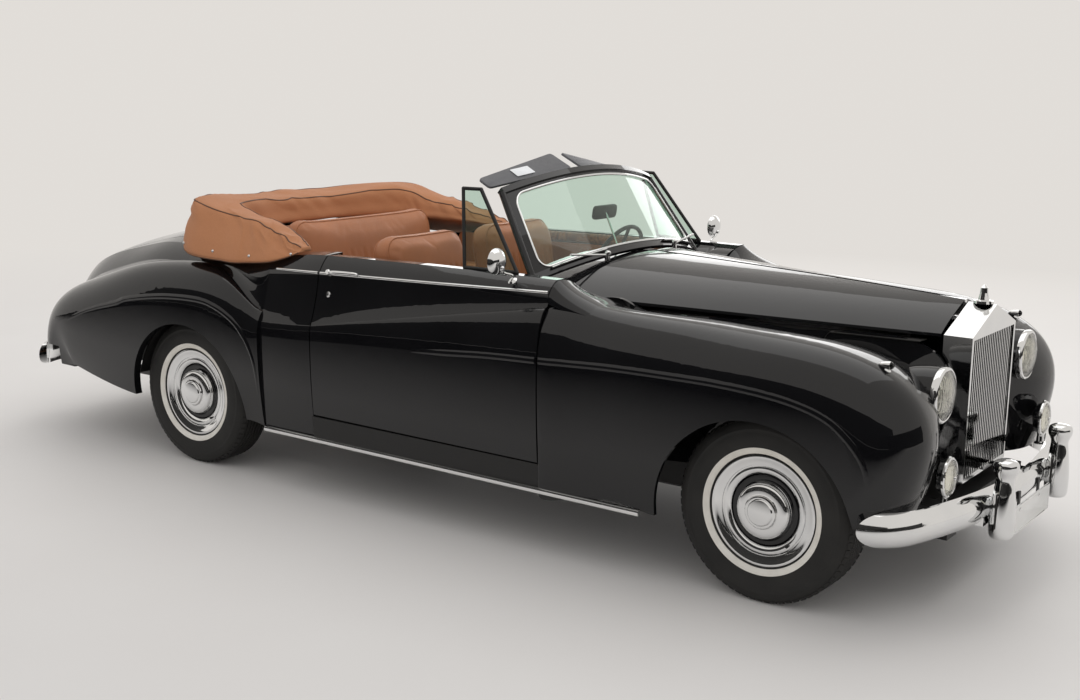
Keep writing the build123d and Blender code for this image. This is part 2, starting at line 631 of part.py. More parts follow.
def bonnet_strip():
    """The chrome strip on the centre line that both halves of the bonnet hinge on."""
    low = BONNET[-1][1]
    outline = [(874, 1172), (BONNET_FRONT_X, low), (BONNET_FRONT_X, low - 14), (874, 1158)]
    face = Plane(origin=(0, 0, 0), x_dir=(1, 0, 0), z_dir=(0, -1, 0)) * make_face(Polyline(*outline, close=True))
    return extrude(face, amount=STRIP_HALF - 1, both=True)


# ---------------------------------------------------------------- cabin
def dashboard():
    outline = [(560, 880), (640, 900), (640, 1040), (560, 1052), (500, 1040), (480, 980)]
    face = Plane(origin=(0, 0, 0), x_dir=(1, 0, 0), z_dir=(0, -1, 0)) * make_face(Polyline(*outline, close=True))
    return solid_of(extrude(face, amount=700, both=True))


def steering_column():
    direction = Vector(-cos(radians(22)), 0, sin(radians(22)))
    hub = Vector(*STEERING_HUB)
    return rod(hub - direction * 420, hub - direction * 48, 24)


STEERING_HUB = (420, 380, 1030)
STEERING_R = 205


def steering_wheel():
    direction = Vector(-cos(radians(22)), 0, sin(radians(22)))
    plane = Plane(origin=STEERING_HUB, x_dir=(0, 1, 0), z_dir=direction)
    ring = plane * Torus(STEERING_R, 10)
    hub = plane * Pos(0, 0, -18) * Cylinder(38, 44)
    for i in range(3):
        spoke = plane * Rot(0, 0, -90 + 120 * i) * Pos(STEERING_R / 2, 0, 0) * Box(STEERING_R, 20, 8)
        hub += spoke
    return solid_of(ring + hub)


def rounded(length, height, thickness, top_r, edge_r):
    """A padded slab standing on its lower edge: its two upper corners and its upper edge are rounded."""
    face = make_face(Polyline((-length / 2, 0), (length / 2, 0), (length / 2, height), (-length / 2, height), close=True))
    face = fillet([v for v in face.vertices() if v.Y > 1], top_r)
    plane = Plane(origin=(-thickness / 2, 0, 0), x_dir=(0, 1, 0), z_dir=(1, 0, 0))
    slab = extrude(plane * face, amount=thickness)
    profile = make_face(Polyline((-thickness / 2, 0), (thickness / 2, 0), (thickness / 2, height), (-thickness / 2, height),
                                 close=True))
    profile = fillet([v for v in profile.vertices() if v.Y > 1], edge_r)
    side = Plane(origin=(0, length / 2, 0), x_dir=(1, 0, 0), z_dir=(0, -1, 0)) * profile
    return slab & extrude(side, amount=length)


def lying(length, height, width, edge_r):
    """A seat cushion with its front upper edge rounded, its rear end at x = 0."""
    profile = make_face(Polyline((0, 0), (length, 0), (length, height), (0, height), close=True))
    profile = fillet([v for v in profile.vertices() if v.X > 1 and v.Y > 1], edge_r)
    side = Plane(origin=(0, width / 2, 0), x_dir=(1, 0, 0), z_dir=(0, -1, 0)) * profile
    return extrude(side, amount=width)


FRONT_SEAT_Y, FRONT_SEAT_WIDTH = 365, 540
REAR_SEAT_WIDTH = 1080


def front_seats():
    seats = []
    for side in (-1, 1):
        place = Pos(0, side * FRONT_SEAT_Y, 0)
        seats.append(place * Pos(-120, 0, 560) * lying(520, 200, FRONT_SEAT_WIDTH, 80))
        seats.append(place * Pos(-130, 0, 680) * Rot(0, -11, 0) * rounded(FRONT_SEAT_WIDTH, 545, 130, 130, 60))
        seats.append(place * box(-100, 380, -200, 200, FLOOR_Z + 10, 560))
    return Compound(seats)


def rear_seat():
    cushion = Pos(-860, 0, 600) * lying(440, 150, REAR_SEAT_WIDTH, 60)
    back = Pos(-858, 0, 752) * Rot(0, -10, 0) * rounded(REAR_SEAT_WIDTH, 480, 120, 150, 55)
    return Compound([cushion, back])


# The folded hood under its cover, one section per row. Each plane stands upright on a point in plan, turned
# from +Y towards the rear by the angle, and its distances are measured out from that point.
#            x     y  angle | outer bottom d  z | outer top d  z | inner top d  z | inner bottom d  z
HOOD = [
    (-530, 0, 0, 806, 1122, 790, 1146, 742, 1150, 735, 1124),
    (-700, 0, 0, 854, 1060, 772, 1246, 668, 1236, 640, 1154),
    (-1000, 0, 0, 852, 1036, 766, 1292, 612, 1282, 596, 1136),
    (-1000, 420, 45, 452, 1060, 384, 1312, 210, 1286, 190, 1140),
    (-1000, 250, 90, 496, 1142, 430, 1322, 258, 1290, 240, 1150),
    (-1000, 0, 90, 500, 1142, 434, 1326, 262, 1292, 244, 1150),
]


def hood_cover():
    wires = []
    for x, y, turn, od, oz, td, tz, ud, uz, bd, bz in HOOD:
        a = radians(turn)
        plane = Plane(origin=(x, y, 0), x_dir=(-sin(a), cos(a), 0), z_dir=(cos(a), sin(a), 0))
        edges = [
            bulged((od, oz), (td, tz), -14),
            bulged((td, tz), (ud, uz), -16),
            Line((ud, uz), (bd, bz)),
            Line((bd, bz), (od, oz)),
        ]
        wires.append(Wire([plane.from_local_coords(e) for e in edges]))
    half = Solid.make_loft(wires) & box(-2000, 0, 0, 1000, 900, 1500)
    return solid_of(half + mirror(half, Plane.XZ))


add_pair("front_wing", front_wing())
add("rear_body", rear_body())
add("boot_lid", boot_lid())
add_pair("door", door())
add_pair("bonnet", bonnet())
add("bonnet_strip", bonnet_strip())
add("scuttle", scuttle())
add("chassis_frame", chassis_frame())
add("floor_and_bulkhead", floor_and_bulkhead())
add("jack_sockets", jack_sockets())
add("boot_floor", boot_floor())
add("rear_axle", rear_axle())
add("front_suspension", front_suspension())
add_pair("knuckle", knuckle())
add("engine_block", engine_block())
add("exhaust", exhaust())
add("radiator_shell", radiator_shell() + filler_cap())
add("radiator_vanes", radiator_vanes())
add("front_lamps", front_lamps())
add("front_bumper", bumper(*FRONT_BUMPER, RAIL_PROFILE[0][0]))
add("rear_bumper", bumper(*REAR_BUMPER, RAIL_PROFILE[6][0]))
add("tail_lamps", both(tail_lamp()))
add("windscreen_glass", windscreen_glass())
add("windscreen_frame", windscreen_frame())
add("sun_visors", sun_visors())
add("wipers", wipers())
add_pair("vent_frame", vent_window())
add_pair("vent_glass", vent_glass())
add_pair("door_mirror", door_mirror())
add("dashboard", dashboard() + steering_column())
add("steering_wheel", steering_wheel())
add("front_seats", front_seats())
add("rear_seat", rear_seat())
add("hood_cover", hood_cover())
for place, x, track in (("front", FRONT_AXLE_X, FRONT_TRACK), ("rear", REAR_AXLE_X, REAR_TRACK)):
    for hand, side in (("left", 1), ("right", -1)):
        add(f"tyre_{place}_{hand}", tyre(x, side, track))
        add(f"wheel_{place}_{hand}", wheel(x, side, track))

if __name__ == "__main__":
    os.makedirs("parts", exist_ok=True)
    for name, shape in nodes.items():
        export_step(shape, f"parts/{name}.step")
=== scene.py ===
"""Dresses the convertible car: paint, chrome, leather, cloth, tyres and glass, and the pieces too fine for CAD."""

import json
import math

import bmesh
import bpy
from mathutils import Matrix, Vector, noise
from mathutils.bvhtree import BVHTree


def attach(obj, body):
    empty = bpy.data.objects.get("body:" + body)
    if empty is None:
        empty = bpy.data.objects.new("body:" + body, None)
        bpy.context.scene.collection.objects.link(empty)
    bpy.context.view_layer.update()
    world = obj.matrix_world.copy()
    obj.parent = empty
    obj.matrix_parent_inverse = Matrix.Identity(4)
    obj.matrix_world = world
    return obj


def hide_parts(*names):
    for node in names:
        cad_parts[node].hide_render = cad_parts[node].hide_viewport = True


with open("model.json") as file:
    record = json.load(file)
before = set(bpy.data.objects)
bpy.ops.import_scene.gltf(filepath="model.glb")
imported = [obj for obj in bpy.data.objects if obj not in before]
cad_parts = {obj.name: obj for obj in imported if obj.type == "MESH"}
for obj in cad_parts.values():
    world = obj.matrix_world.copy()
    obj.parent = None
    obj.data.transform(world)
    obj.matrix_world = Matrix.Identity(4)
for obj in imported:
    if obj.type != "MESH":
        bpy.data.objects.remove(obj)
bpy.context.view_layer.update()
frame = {"nodes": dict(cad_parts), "record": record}

bl_info = {
    "name": "Convertible Car Dresser",
    "version": (1, 0, 0),
    "blender": (4, 5, 0),
    "location": "3D View > Sidebar > Car",
    "description": "Gives the packed convertible its finishes, soft goods and fine pieces",
    "category": "Object",
}

# ---------------------------------------------------------------- sizes, in metres
FRONT_AXLE_X, REAR_AXLE_X = 1.872, -1.252
FRONT_TRACK, REAR_TRACK = 1.486, 1.524
WHEEL_Z = 0.360
SIDES = {"left": 1, "right": -1}
CAMERA_PLACE = (4.134, -5.433, 1.968)
CAMERA_YAW, CAMERA_PITCH, CAMERA_ROLL = 125.57, -11.26, 0.95
CAMERA_LENS = 47.16
THREAD_PITCH = 0.0024            # of the hood cloth's weave
FLUTE_PITCH = 0.012              # of the lamp glasses
WORLD_LIGHT = 0.88
#       name | place | width | depth | watts
LAMPS = (("over", (0.0, 1.0, 5.2), 7.0, 4.5, 70), ("far_wall", (-3.0, 9.5, 3.6), 12.0, 3.0, 190))
BACKDROP = (0.755, 0.725, 0.690)
FLOOR_HALF = 60
FADE_START, FADE_LENGTH = 4.5, 5.0               # where the floor turns into the backdrop, from the middle
# Dark boards that only polished surfaces see: painted dark reflections in the paint and chrome
#        name | from (x, y) | to (x, y) | lower z | upper z
DARK_REFLECTION_BOARDS = (("near_flag", (-14.0, -9.5), (14.0, -9.5), 0.05, 5.0), ("front_flag", (10.5, -9.5), (10.5, 4.0), 0.05, 2.6))
OWN_FINISH = {"engine_block": "engine_metal", "windscreen_frame": "body_paint", "dashboard": "walnut",
              "door_mirror_left": "chrome", "door_mirror_right": "chrome"}


# ---------------------------------------------------------------- what a user would change
class CAR_PG_sizes(bpy.types.PropertyGroup):
    """Sizes and colours of the car's dressing"""

    paint: bpy.props.FloatVectorProperty(name="Paint", description="Colour of the coachwork", subtype="COLOR",
                                         size=3, min=0, max=1, default=(0.003, 0.003, 0.0035))
    leather: bpy.props.FloatVectorProperty(name="Leather", description="Colour of the seats", subtype="COLOR",
                                           size=3, min=0, max=1, default=(0.40, 0.150, 0.058))
    cloth: bpy.props.FloatVectorProperty(name="Hood cloth", description="Colour of the folded hood's cover",
                                         subtype="COLOR", size=3, min=0, max=1, default=(0.47, 0.205, 0.095))
    tread_lugs: bpy.props.IntProperty(name="Tread lugs", description="Shoulder lugs round each tyre", min=12,
                                      default=72)
    lug_size: bpy.props.FloatVectorProperty(name="Lug size", description="Radial, lengthwise and sideways size",
                                            subtype="XYZ", unit="LENGTH", size=3, default=(0.009, 0.021, 0.018))
    flute_width: bpy.props.FloatProperty(name="Flute width", description="Width of one sewn flute of a seat",
                                         unit="LENGTH", min=0.01, default=0.046)
    stud_spacing: bpy.props.FloatProperty(name="Stud spacing", description="Distance between the hood cover's studs",
                                          unit="LENGTH", min=0.05, default=0.24)


# ---------------------------------------------------------------- shader maths
class Val:
    """A socket that arithmetic works on. Each operation adds one Math node."""

    def __init__(self, mat, socket):
        self.mat = mat
        self.socket = socket

    def _math(self, operation, other=None, swap=False):
        node = self.mat.tree.nodes.new("ShaderNodeMath")
        node.operation = operation
        ends = [self, other] if other is not None else [self]
        if swap:
            ends.reverse()
        for index, end in enumerate(ends):
            if isinstance(end, Val):
                self.mat.tree.links.new(end.socket, node.inputs[index])
            else:
                node.inputs[index].default_value = end
        return Val(self.mat, node.outputs[0])

    def __add__(self, other): return self._math("ADD", other)
    def __radd__(self, other): return self._math("ADD", other, True)
    def __sub__(self, other): return self._math("SUBTRACT", other)
    def __mul__(self, other): return self._math("MULTIPLY", other)
    def __rmul__(self, other): return self._math("MULTIPLY", other, True)
    def __truediv__(self, other): return self._math("DIVIDE", other)
    def __abs__(self): return self._math("ABSOLUTE")
    def sine(self): return self._math("SINE")
    def most(self, other): return self._math("MAXIMUM", other)
    def least(self, other): return self._math("MINIMUM", other)


class Material:
    """A node material with a principled surface, built by calls that read as the finish does."""

    def __init__(self, name, **principled):
        self.data = bpy.data.materials.new(name)
        self.data.use_nodes = True
        self.tree = self.data.node_tree
        self.surface = self.tree.nodes["Principled BSDF"]
        for label, value in principled.items():
            self.set(label.replace("_", " ").title().replace("Ior", "IOR"), value)

    def set(self, label, value):
        socket = self.surface.inputs[label]
        if isinstance(value, Val):
            self.tree.links.new(value.socket, socket)
        elif isinstance(value, tuple) and len(value) == 3 and len(socket.default_value) == 4:
            socket.default_value = (*value, 1)
        else:
            socket.default_value = value

    def node(self, kind, settings=None, output=0, **inputs):
        """Adds a node. Its settings come first, then the values or links of its inputs."""
        node = self.tree.nodes.new(kind)
        for key, value in (settings or {}).items():
            if key == "stops":
                ramp = node.color_ramp.elements
                while len(ramp) < len(value):
                    ramp.new(0.5)
                for stop, (place, colour) in zip(ramp, value):
                    stop.position = place
                    stop.color = (*colour, 1)
            else:
                setattr(node, key, value)
        for label, value in inputs.items():
            socket = node.inputs[int(label[1:])] if label[0] == "i" and label[1:].isdigit() else node.inputs[label]
            if isinstance(value, Val):
                self.tree.links.new(value.socket, socket)
            elif isinstance(value, tuple) and len(value) == 3 and len(socket.default_value) == 4:
                socket.default_value = (*value, 1)
            else:
                socket.default_value = value
        return Val(self, node.outputs[output])

    def place(self):
        return self.node("ShaderNodeTexCoord", output=3)

    def noise(self, scale, detail=2.0, vector=None, **more):
        return self.node("ShaderNodeTexNoise", Vector=vector or self.place(), Scale=scale, Detail=detail, **more)

    def fade_into(self, kind, colour, share):
        """Fades the surface into another shader where the share is 1."""
        other = self.tree.nodes.new(kind)
        other.inputs["Color"].default_value = (*colour, 1)
        mix = self.tree.nodes.new("ShaderNodeMixShader")
        self.tree.links.new(share.socket, mix.inputs[0])
        self.tree.links.new(self.surface.outputs[0], mix.inputs[1])
        self.tree.links.new(other.outputs[0], mix.inputs[2])
        self.tree.links.new(mix.outputs[0], self.tree.nodes["Material Output"].inputs[0])

    def mix(self, factor, one, two):
        return self.node("ShaderNodeMix", {"data_type": "RGBA"}, output=2, Factor=factor, i6=one, i7=two)

    def bump(self, height, strength, distance):
        self.set("Normal", self.node("ShaderNodeBump", Height=height, Strength=strength, Distance=distance))


# ---------------------------------------------------------------- finishes
def mottled(name, scale, detail, colours, matt, bump=None, **principled):
    """A finish that one noise varies between two colours.

    matt is its least roughness and how far that rises. bump is the scale, detail, strength and depth of its grain.
    """
    mat = Material(name, **principled)
    stain = mat.noise(scale, detail)
    mat.set("Base Color", mat.mix(stain, *colours))
    least, spread = matt
    mat.set("Roughness", least + stain * spread)
    if bump:
        mat.bump(mat.noise(*bump[:2]), *bump[2:])
    return mat


def coachwork():
    paint = tuple(sizes().paint)
    return mottled("black_coachwork", 3.0, 3.0, (paint, tuple(c * 1.6 + 0.001 for c in paint)), (0.22, 0.2),
                   (260.0, 1.0, 0.02, 0.0004), roughness=0.3, coat_weight=1.0, coat_roughness=0.015,
                   specular_ior_level=0.02)


def chrome():
    return mottled("polished_chrome", 7.0, 4.0, ((0.86, 0.86, 0.85), (0.74, 0.75, 0.76)), (0.03, 0.07),
                   (120.0, 1.0, 0.02, 0.0003), metallic=1.0)


def rubber():
    return mottled("tyre_rubber", 9.0, 5.0, ((0.008, 0.008, 0.008), (0.032, 0.030, 0.027)), (0.5, 0.3),
                   (700.0, 2.0, 0.25, 0.0006), specular_ior_level=0.35)


def white_rubber():
    return mottled("whitewall_rubber", 26.0, 5.0, ((0.80, 0.77, 0.70), (0.60, 0.56, 0.49)), (0.45, 0.2),
                   (500.0, 2.0, 0.15, 0.0004), specular_ior_level=0.4)


def hide_on(name, colour, grain=620.0):
    """Leather: a fine cell grain, larger soft creases and a slightly uneven dye."""
    mat = Material(name, specular_ior_level=0.45)
    dye = mat.noise(5.0, 4.0)
    mat.set("Base Color", mat.mix(dye, tuple(c * 0.78 for c in colour), tuple(min(1.0, c * 1.18) for c in colour)))
    cells = mat.node("ShaderNodeTexVoronoi", {"feature": "DISTANCE_TO_EDGE"}, Vector=mat.place(), Scale=grain)
    creases = mat.noise(38.0, 3.0)
    mat.set("Roughness", 0.38 + creases * 0.22)
    mat.bump(cells.least(0.12) * 4.0 + creases * 0.9, 0.35, 0.0009)
    return mat


def leather():
    return hide_on("tan_leather", tuple(sizes().leather))


def hood_cloth():
    """A plain weave: two crossed sets of threads, with slubs and sun-faded patches."""
    mat = Material("hood_cloth", sheen_weight=0.08, sheen_roughness=0.5, specular_ior_level=0.2)
    colour = tuple(sizes().cloth)
    fade = mat.noise(2.6, 4.0)
    slubs = mat.noise(160.0, 2.0)
    shade = mat.mix(fade, tuple(c * 0.86 for c in colour), tuple(min(1.0, c * 1.16) for c in colour))
    mat.set("Base Color", mat.mix(slubs * 0.35, shade, tuple(c * 0.6 for c in colour)))
    mat.set("Roughness", 0.78 + slubs * 0.15)
    place = mat.place()
    threads = 2 * math.pi / THREAD_PITCH
    warp = (mat.node("ShaderNodeSeparateXYZ", output=0, Vector=place) * threads).sine()
    weft = (mat.node("ShaderNodeSeparateXYZ", output=1, Vector=place) * threads).sine()
    rise = (mat.node("ShaderNodeSeparateXYZ", output=2, Vector=place) * threads).sine()
    mat.bump(warp * weft + rise * 0.5 + slubs * 1.5, 0.3, 0.0006)
    return mat


def satin_black():
    return mottled("satin_black", 14.0, 4.0, ((0.008, 0.008, 0.008), (0.02, 0.019, 0.018)), (0.35, 0.3),
                   (320.0, 2.0, 0.08, 0.0005), specular_ior_level=0.4)


def cast_grey():
    return mottled("cast_grey", 24.0, 5.0, ((0.10, 0.10, 0.105), (0.22, 0.21, 0.20)), (0.5, 0.25),
                   (260.0, 3.0, 0.3, 0.001), metallic=0.6)


def grey_vinyl():
    return hide_on("grey_vinyl", (0.10, 0.10, 0.105), 900.0)


def tinted_glass():
    mat = Material("tinted_glass", base_color=(0.63, 0.80, 0.71), transmission_weight=1.0, ior=1.45)
    mat.set("Roughness", mat.noise(3.0, 3.0) * 0.012)
    return mat


def lens_glass(name="fluted_lens", colour=(0.95, 0.94, 0.88)):
    """Pressed glass with upright flutes on its inside."""
    mat = Material(name, base_color=colour, transmission_weight=1.0, ior=1.45, roughness=0.03)
    across = mat.node("ShaderNodeSeparateXYZ", output=1, Vector=mat.place())
    mat.bump(abs((across * (math.pi / FLUTE_PITCH)).sine()) + mat.noise(60.0, 2.0) * 0.3, 0.25, 0.0010)
    return mat


def red_lens():
    return lens_glass("red_lens", (0.72, 0.03, 0.02))


def walnut():
    """Burr walnut: stretched rings broken by fine pores, under a clear lacquer."""
    mat = Material("walnut_veneer", coat_weight=0.8, coat_roughness=0.06, roughness=0.35)
    swirl = mat.noise(6.0, 6.0, Distortion=2.2)
    figure = (swirl * 42.0).sine() * 0.5 + 0.5
    mat.set("Base Color", mat.mix(figure, (0.13, 0.045, 0.014), (0.30, 0.12, 0.042)))
    mat.bump(mat.noise(420.0, 3.0), 0.06, 0.0004)
    return mat


def carpet():
    mat = Material("cut_pile_carpet", specular_ior_level=0.1, sheen_weight=0.3, sheen_roughness=0.6)
    pile = mat.noise(520.0, 3.0)
    mat.set("Base Color", mat.mix(pile, (0.16, 0.075, 0.035), (0.34, 0.175, 0.09)))
    mat.set("Roughness", 0.85 + pile * 0.1)
    mat.bump(pile, 0.8, 0.003)
    return mat


def plate_enamel():
    return mottled("plain_plate_enamel", 11.0, 4.0, ((0.80, 0.79, 0.76), (0.70, 0.69, 0.65)), (0.3, 0.2),
                   (90.0, 2.0, 0.05, 0.0005), coat_weight=0.4, coat_roughness=0.08)


def white_card():
    return mottled("white_card", 180.0, 4.0, ((0.86, 0.86, 0.85), (0.74, 0.74, 0.73)), (0.6, 0.15))


def piping_cord():
    return hide_on("dark_piping", (0.11, 0.045, 0.02), 800.0)


def dash_leather():
    return hide_on("dash_leather", (0.012, 0.012, 0.012), 700.0)


FINISHES = {
    "piping": piping_cord, "dash_leather": dash_leather,
    "body_paint": coachwork, "frame_black": satin_black, "engine_metal": cast_grey, "chrome": chrome,
    "lamp_glass": lens_glass, "screen_glass": tinted_glass, "tyre_rubber": rubber, "tan_leather": leather,
    "tan_fabric": hood_cloth, "trim_black": satin_black, "visor_vinyl": grey_vinyl, "whitewall": white_rubber,
    "red_lens": red_lens, "walnut": walnut, "carpet": carpet, "plate": plate_enamel, "card": white_card,
}
made = {}


def finish_of(name):
    if name not in made:
        made[name] = FINISHES[name]().data
    return made[name]


def sizes():
    return bpy.context.scene.car_sizes


# ---------------------------------------------------------------- mesh helpers
def mesh_of(name, points, faces):
    mesh = bpy.data.meshes.new(name)
    mesh.from_pydata([tuple(p) for p in points], [], faces)
    work = bmesh.new()
    work.from_mesh(mesh)
    bmesh.ops.remove_doubles(work, verts=work.verts, dist=1e-6)
    bmesh.ops.recalc_face_normals(work, faces=work.faces)
    work.to_mesh(mesh)
    work.free()
    return mesh


def tube_faces(rings, size, closed=False):
    """Quads between rings of equal size that follow each other, closed into a loop or capped at the ends."""
    faces = []
    for ring in range(rings if closed else rings - 1):
        here, there = ring * size, (ring + 1) % rings * size
        faces += [(here + k, here + (k + 1) % size, there + (k + 1) % size, there + k) for k in range(size)]
    if not closed:
        faces += [tuple(range(size)), tuple(range((rings - 1) * size, rings * size))]
    return faces


def settle(mesh, body="car_body", finish="chrome", slot="chrome", *stands_for, crease=35):
    """Makes a finished mesh a piece of the car, on one of its bodies. Most of the small pieces are fixed chrome."""
    for polygon in mesh.polygons:
        polygon.use_smooth = True
    mesh.set_sharp_from_angle(angle=math.radians(crease))
    mesh.materials.clear()
    mesh.materials.append(finish_of(finish))
    piece = bpy.data.objects.new(mesh.name, mesh)
    bpy.context.collection.objects.link(piece)
    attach(piece, body)
    if stands_for:
        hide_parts(*stands_for)
    return piece


def lathe(name, profile, centre, axis, steps=72):
    """Turns a closed profile of (distance along the axis, radius) about the axis."""
    axis = Vector(axis).normalized()
    side = axis.orthogonal().normalized()
    over = axis.cross(side)
    points, rings = [], []
    for along, radius in profile:
        start = Vector(centre) + axis * along
        ring = []
        for step in range(steps if radius > 1e-6 else 1):
            turn = 2 * math.pi * step / steps
            ring.append(len(points))
            points.append(start + (side * math.cos(turn) + over * math.sin(turn)) * radius)
        rings.append(ring)
    faces = []
    for ring, after in zip(rings, rings[1:] + rings[:1]):
        for step in range(steps):
            corners = [ring[step % len(ring)], ring[(step + 1) % len(ring)],
                       after[(step + 1) % len(after)], after[step % len(after)]]
            corners = list(dict.fromkeys(corners))
            if len(corners) > 2:
                faces.append(corners)
    return mesh_of(name, points, faces)


def spline(a, b, c, d, t):
    """The point at share t between b and c on the smooth line through four points."""
    return 0.5 * (2 * b + (c - a) * t + (2 * a - 5 * b + 4 * c - d) * t ** 2 + (3 * b - a - 3 * c + d) * t ** 3)


def flow(controls, count):
    """A smooth line through the control points, with count points spread along it."""
    pts = [Vector(p) for p in controls]
    pts = [2 * pts[0] - pts[1], *pts, 2 * pts[-1] - pts[-2]]
    line = []
    for index in range(count):
        place = index / (count - 1) * (len(pts) - 3)
        k = min(int(place), len(pts) - 4)
        t = place - k
        line.append(spline(*pts[k:k + 4], t))
    return line


def sweep(name, line, section, ups, closed=False):
    """Carries a section of (sideways, outward) offsets along a line. ups points outward at each point."""
    points = []
    count = len(line)
    for index, point in enumerate(line):
        before = line[index - 1] if index or closed else point
        after = line[(index + 1) % count] if index < count - 1 or closed else point
        ahead = (after - before).normalized()
        up = (ups[index] - ups[index].dot(ahead) * ahead).normalized()
        side = ahead.cross(up)
        shrink = section(index / (count - 1)) if callable(section) else section
        size = len(shrink)
        points += [point + side * a + up * b for a, b in shrink]
    return mesh_of(name, points, tube_faces(count, size, closed))


def circle(radius, steps=10, flat=1.0):
    return [(radius * math.cos(2 * math.pi * k / steps), radius * flat * math.sin(2 * math.pi * k / steps))
            for k in range(steps)]


def half_round(width, height, steps=6):
    """A strip's section: an arch of the given width and height that stands in the surface by half its height."""
    arch = [(width / 2 * math.cos(math.pi * k / steps), height * math.sin(math.pi * k / steps))
            for k in range(steps + 1)]
    return [*arch, (-width / 2, -height), (width / 2, -height)]


def slab(name, outline, origin, across, upward, thickness, edge=0.002):
    """A flat piece: an outline in the plane of across and upward, with a bevelled rim towards its front."""
    across, upward = Vector(across).normalized(), Vector(upward).normalized()
    front = across.cross(upward)
    middle_a = sum(a for a, b in outline) / len(outline)
    middle_b = sum(b for a, b in outline) / len(outline)
    points, rings = [], []
    for depth, inset in ((0, 0), (thickness - edge, 0), (thickness - edge * 0.3, edge * 0.3), (thickness, edge)):
        ring = []
        for a, b in outline:
            away = Vector((a - middle_a, b - middle_b))
            away -= away.normalized() * inset
            ring.append(len(points))
            points.append(Vector(origin) + across * (middle_a + away.x) + upward * (middle_b + away.y) + front * depth)
        rings.append(ring)
    faces = [tuple(rings[0]), tuple(rings[-1])]
    for ring, after in zip(rings, rings[1:]):
        faces += [(ring[k - 1], ring[k], after[k], after[k - 1]) for k in range(len(ring))]
    return mesh_of(name, points, faces)


def rounded_outline(width, height, radius, steps=6):
    """A rectangle about the middle with round corners."""
    outline = []
    for quarter, (sa, sb) in enumerate(((1, 1), (-1, 1), (-1, -1), (1, -1))):
        for step in range(steps + 1):
            turn = math.pi / 2 * (quarter + step / steps)
            outline.append((sa * (width / 2 - radius) + radius * math.cos(turn),
                            sb * (height / 2 - radius) + radius * math.sin(turn)))
    return outline


def panel_tree(*names):
    """The surface of CAD panels, to lay strips on."""
    points, faces = [], []
    for name in names:
        mesh = frame["nodes"][name].data
        base = len(points)
        points += [v.co.copy() for v in mesh.vertices]
        faces += [tuple(base + v for v in p.vertices) for p in mesh.polygons]
    return BVHTree.FromPolygons(points, faces)


def on_side(tree, x, z, side):
    """The point and outward normal of the panel's side at (x, z)."""
    spot, normal, _, _ = tree.ray_cast(Vector((x, side * 1.3, z)), Vector((0, -side, 0)))
    if spot is None:
        raise ValueError(f"no panel at x {x:.3f}, z {z:.3f}")
    return spot, normal if normal.y * side > 0 else -normal


def side_strip(name, panels, controls, side, section, body, finish, slot, count=80):
    """A strip along a panel's side through the (x, z) points."""
    tree = panel_tree(*panels)
    line, ups = [], []
    for point in flow([(x, 0, z) for x, z in controls], count):
        spot, normal = on_side(tree, point.x, point.z, side)
        line.append(spot)
        ups.append(normal)
    return settle(sweep(name, line, section, ups), body, finish, slot)


# ---------------------------------------------------------------- repeated pieces
def node_tree(name, inputs):
    tree = bpy.data.node_groups.new(name, "GeometryNodeTree")
    for label, kind in inputs:
        tree.interface.new_socket(label, in_out="INPUT", socket_type=kind)
    tree.interface.new_socket("Geometry", in_out="OUTPUT", socket_type="NodeSocketGeometry")
    return tree


def add_node(tree, kind, settings=None, **inputs):
    node = tree.nodes.new(kind)
    for key, value in (settings or {}).items():
        setattr(node, key, value)
    for label, value in inputs.items():
        label = label.replace("_", " ")
        socket = node.inputs[int(label[1:])] if label[0] == "i" and label[1:].isdigit() else node.inputs[label]
        if isinstance(value, bpy.types.NodeSocket):
            tree.links.new(value, socket)
        else:
            socket.default_value = value
    return node


def grown(tree, name, values):
    """Runs a Geometry Nodes tree once and returns its result as a plain mesh."""
    carrier = bpy.data.objects.new(name, bpy.data.meshes.new(name))
    bpy.context.collection.objects.link(carrier)
    modifier = carrier.modifiers.new("grow", "NODES")
    modifier.node_group = tree
    for item in tree.interface.items_tree:
        if item.in_out == "INPUT" and item.name in values:
            value = values[item.name]
            modifier[item.identifier] = tuple(value) if hasattr(value, "__len__") else value
    graph = bpy.context.evaluated_depsgraph_get()
    mesh = bpy.data.meshes.new_from_object(carrier.evaluated_get(graph))
    bpy.data.objects.remove(carrier)
    mesh.name = name
    return mesh


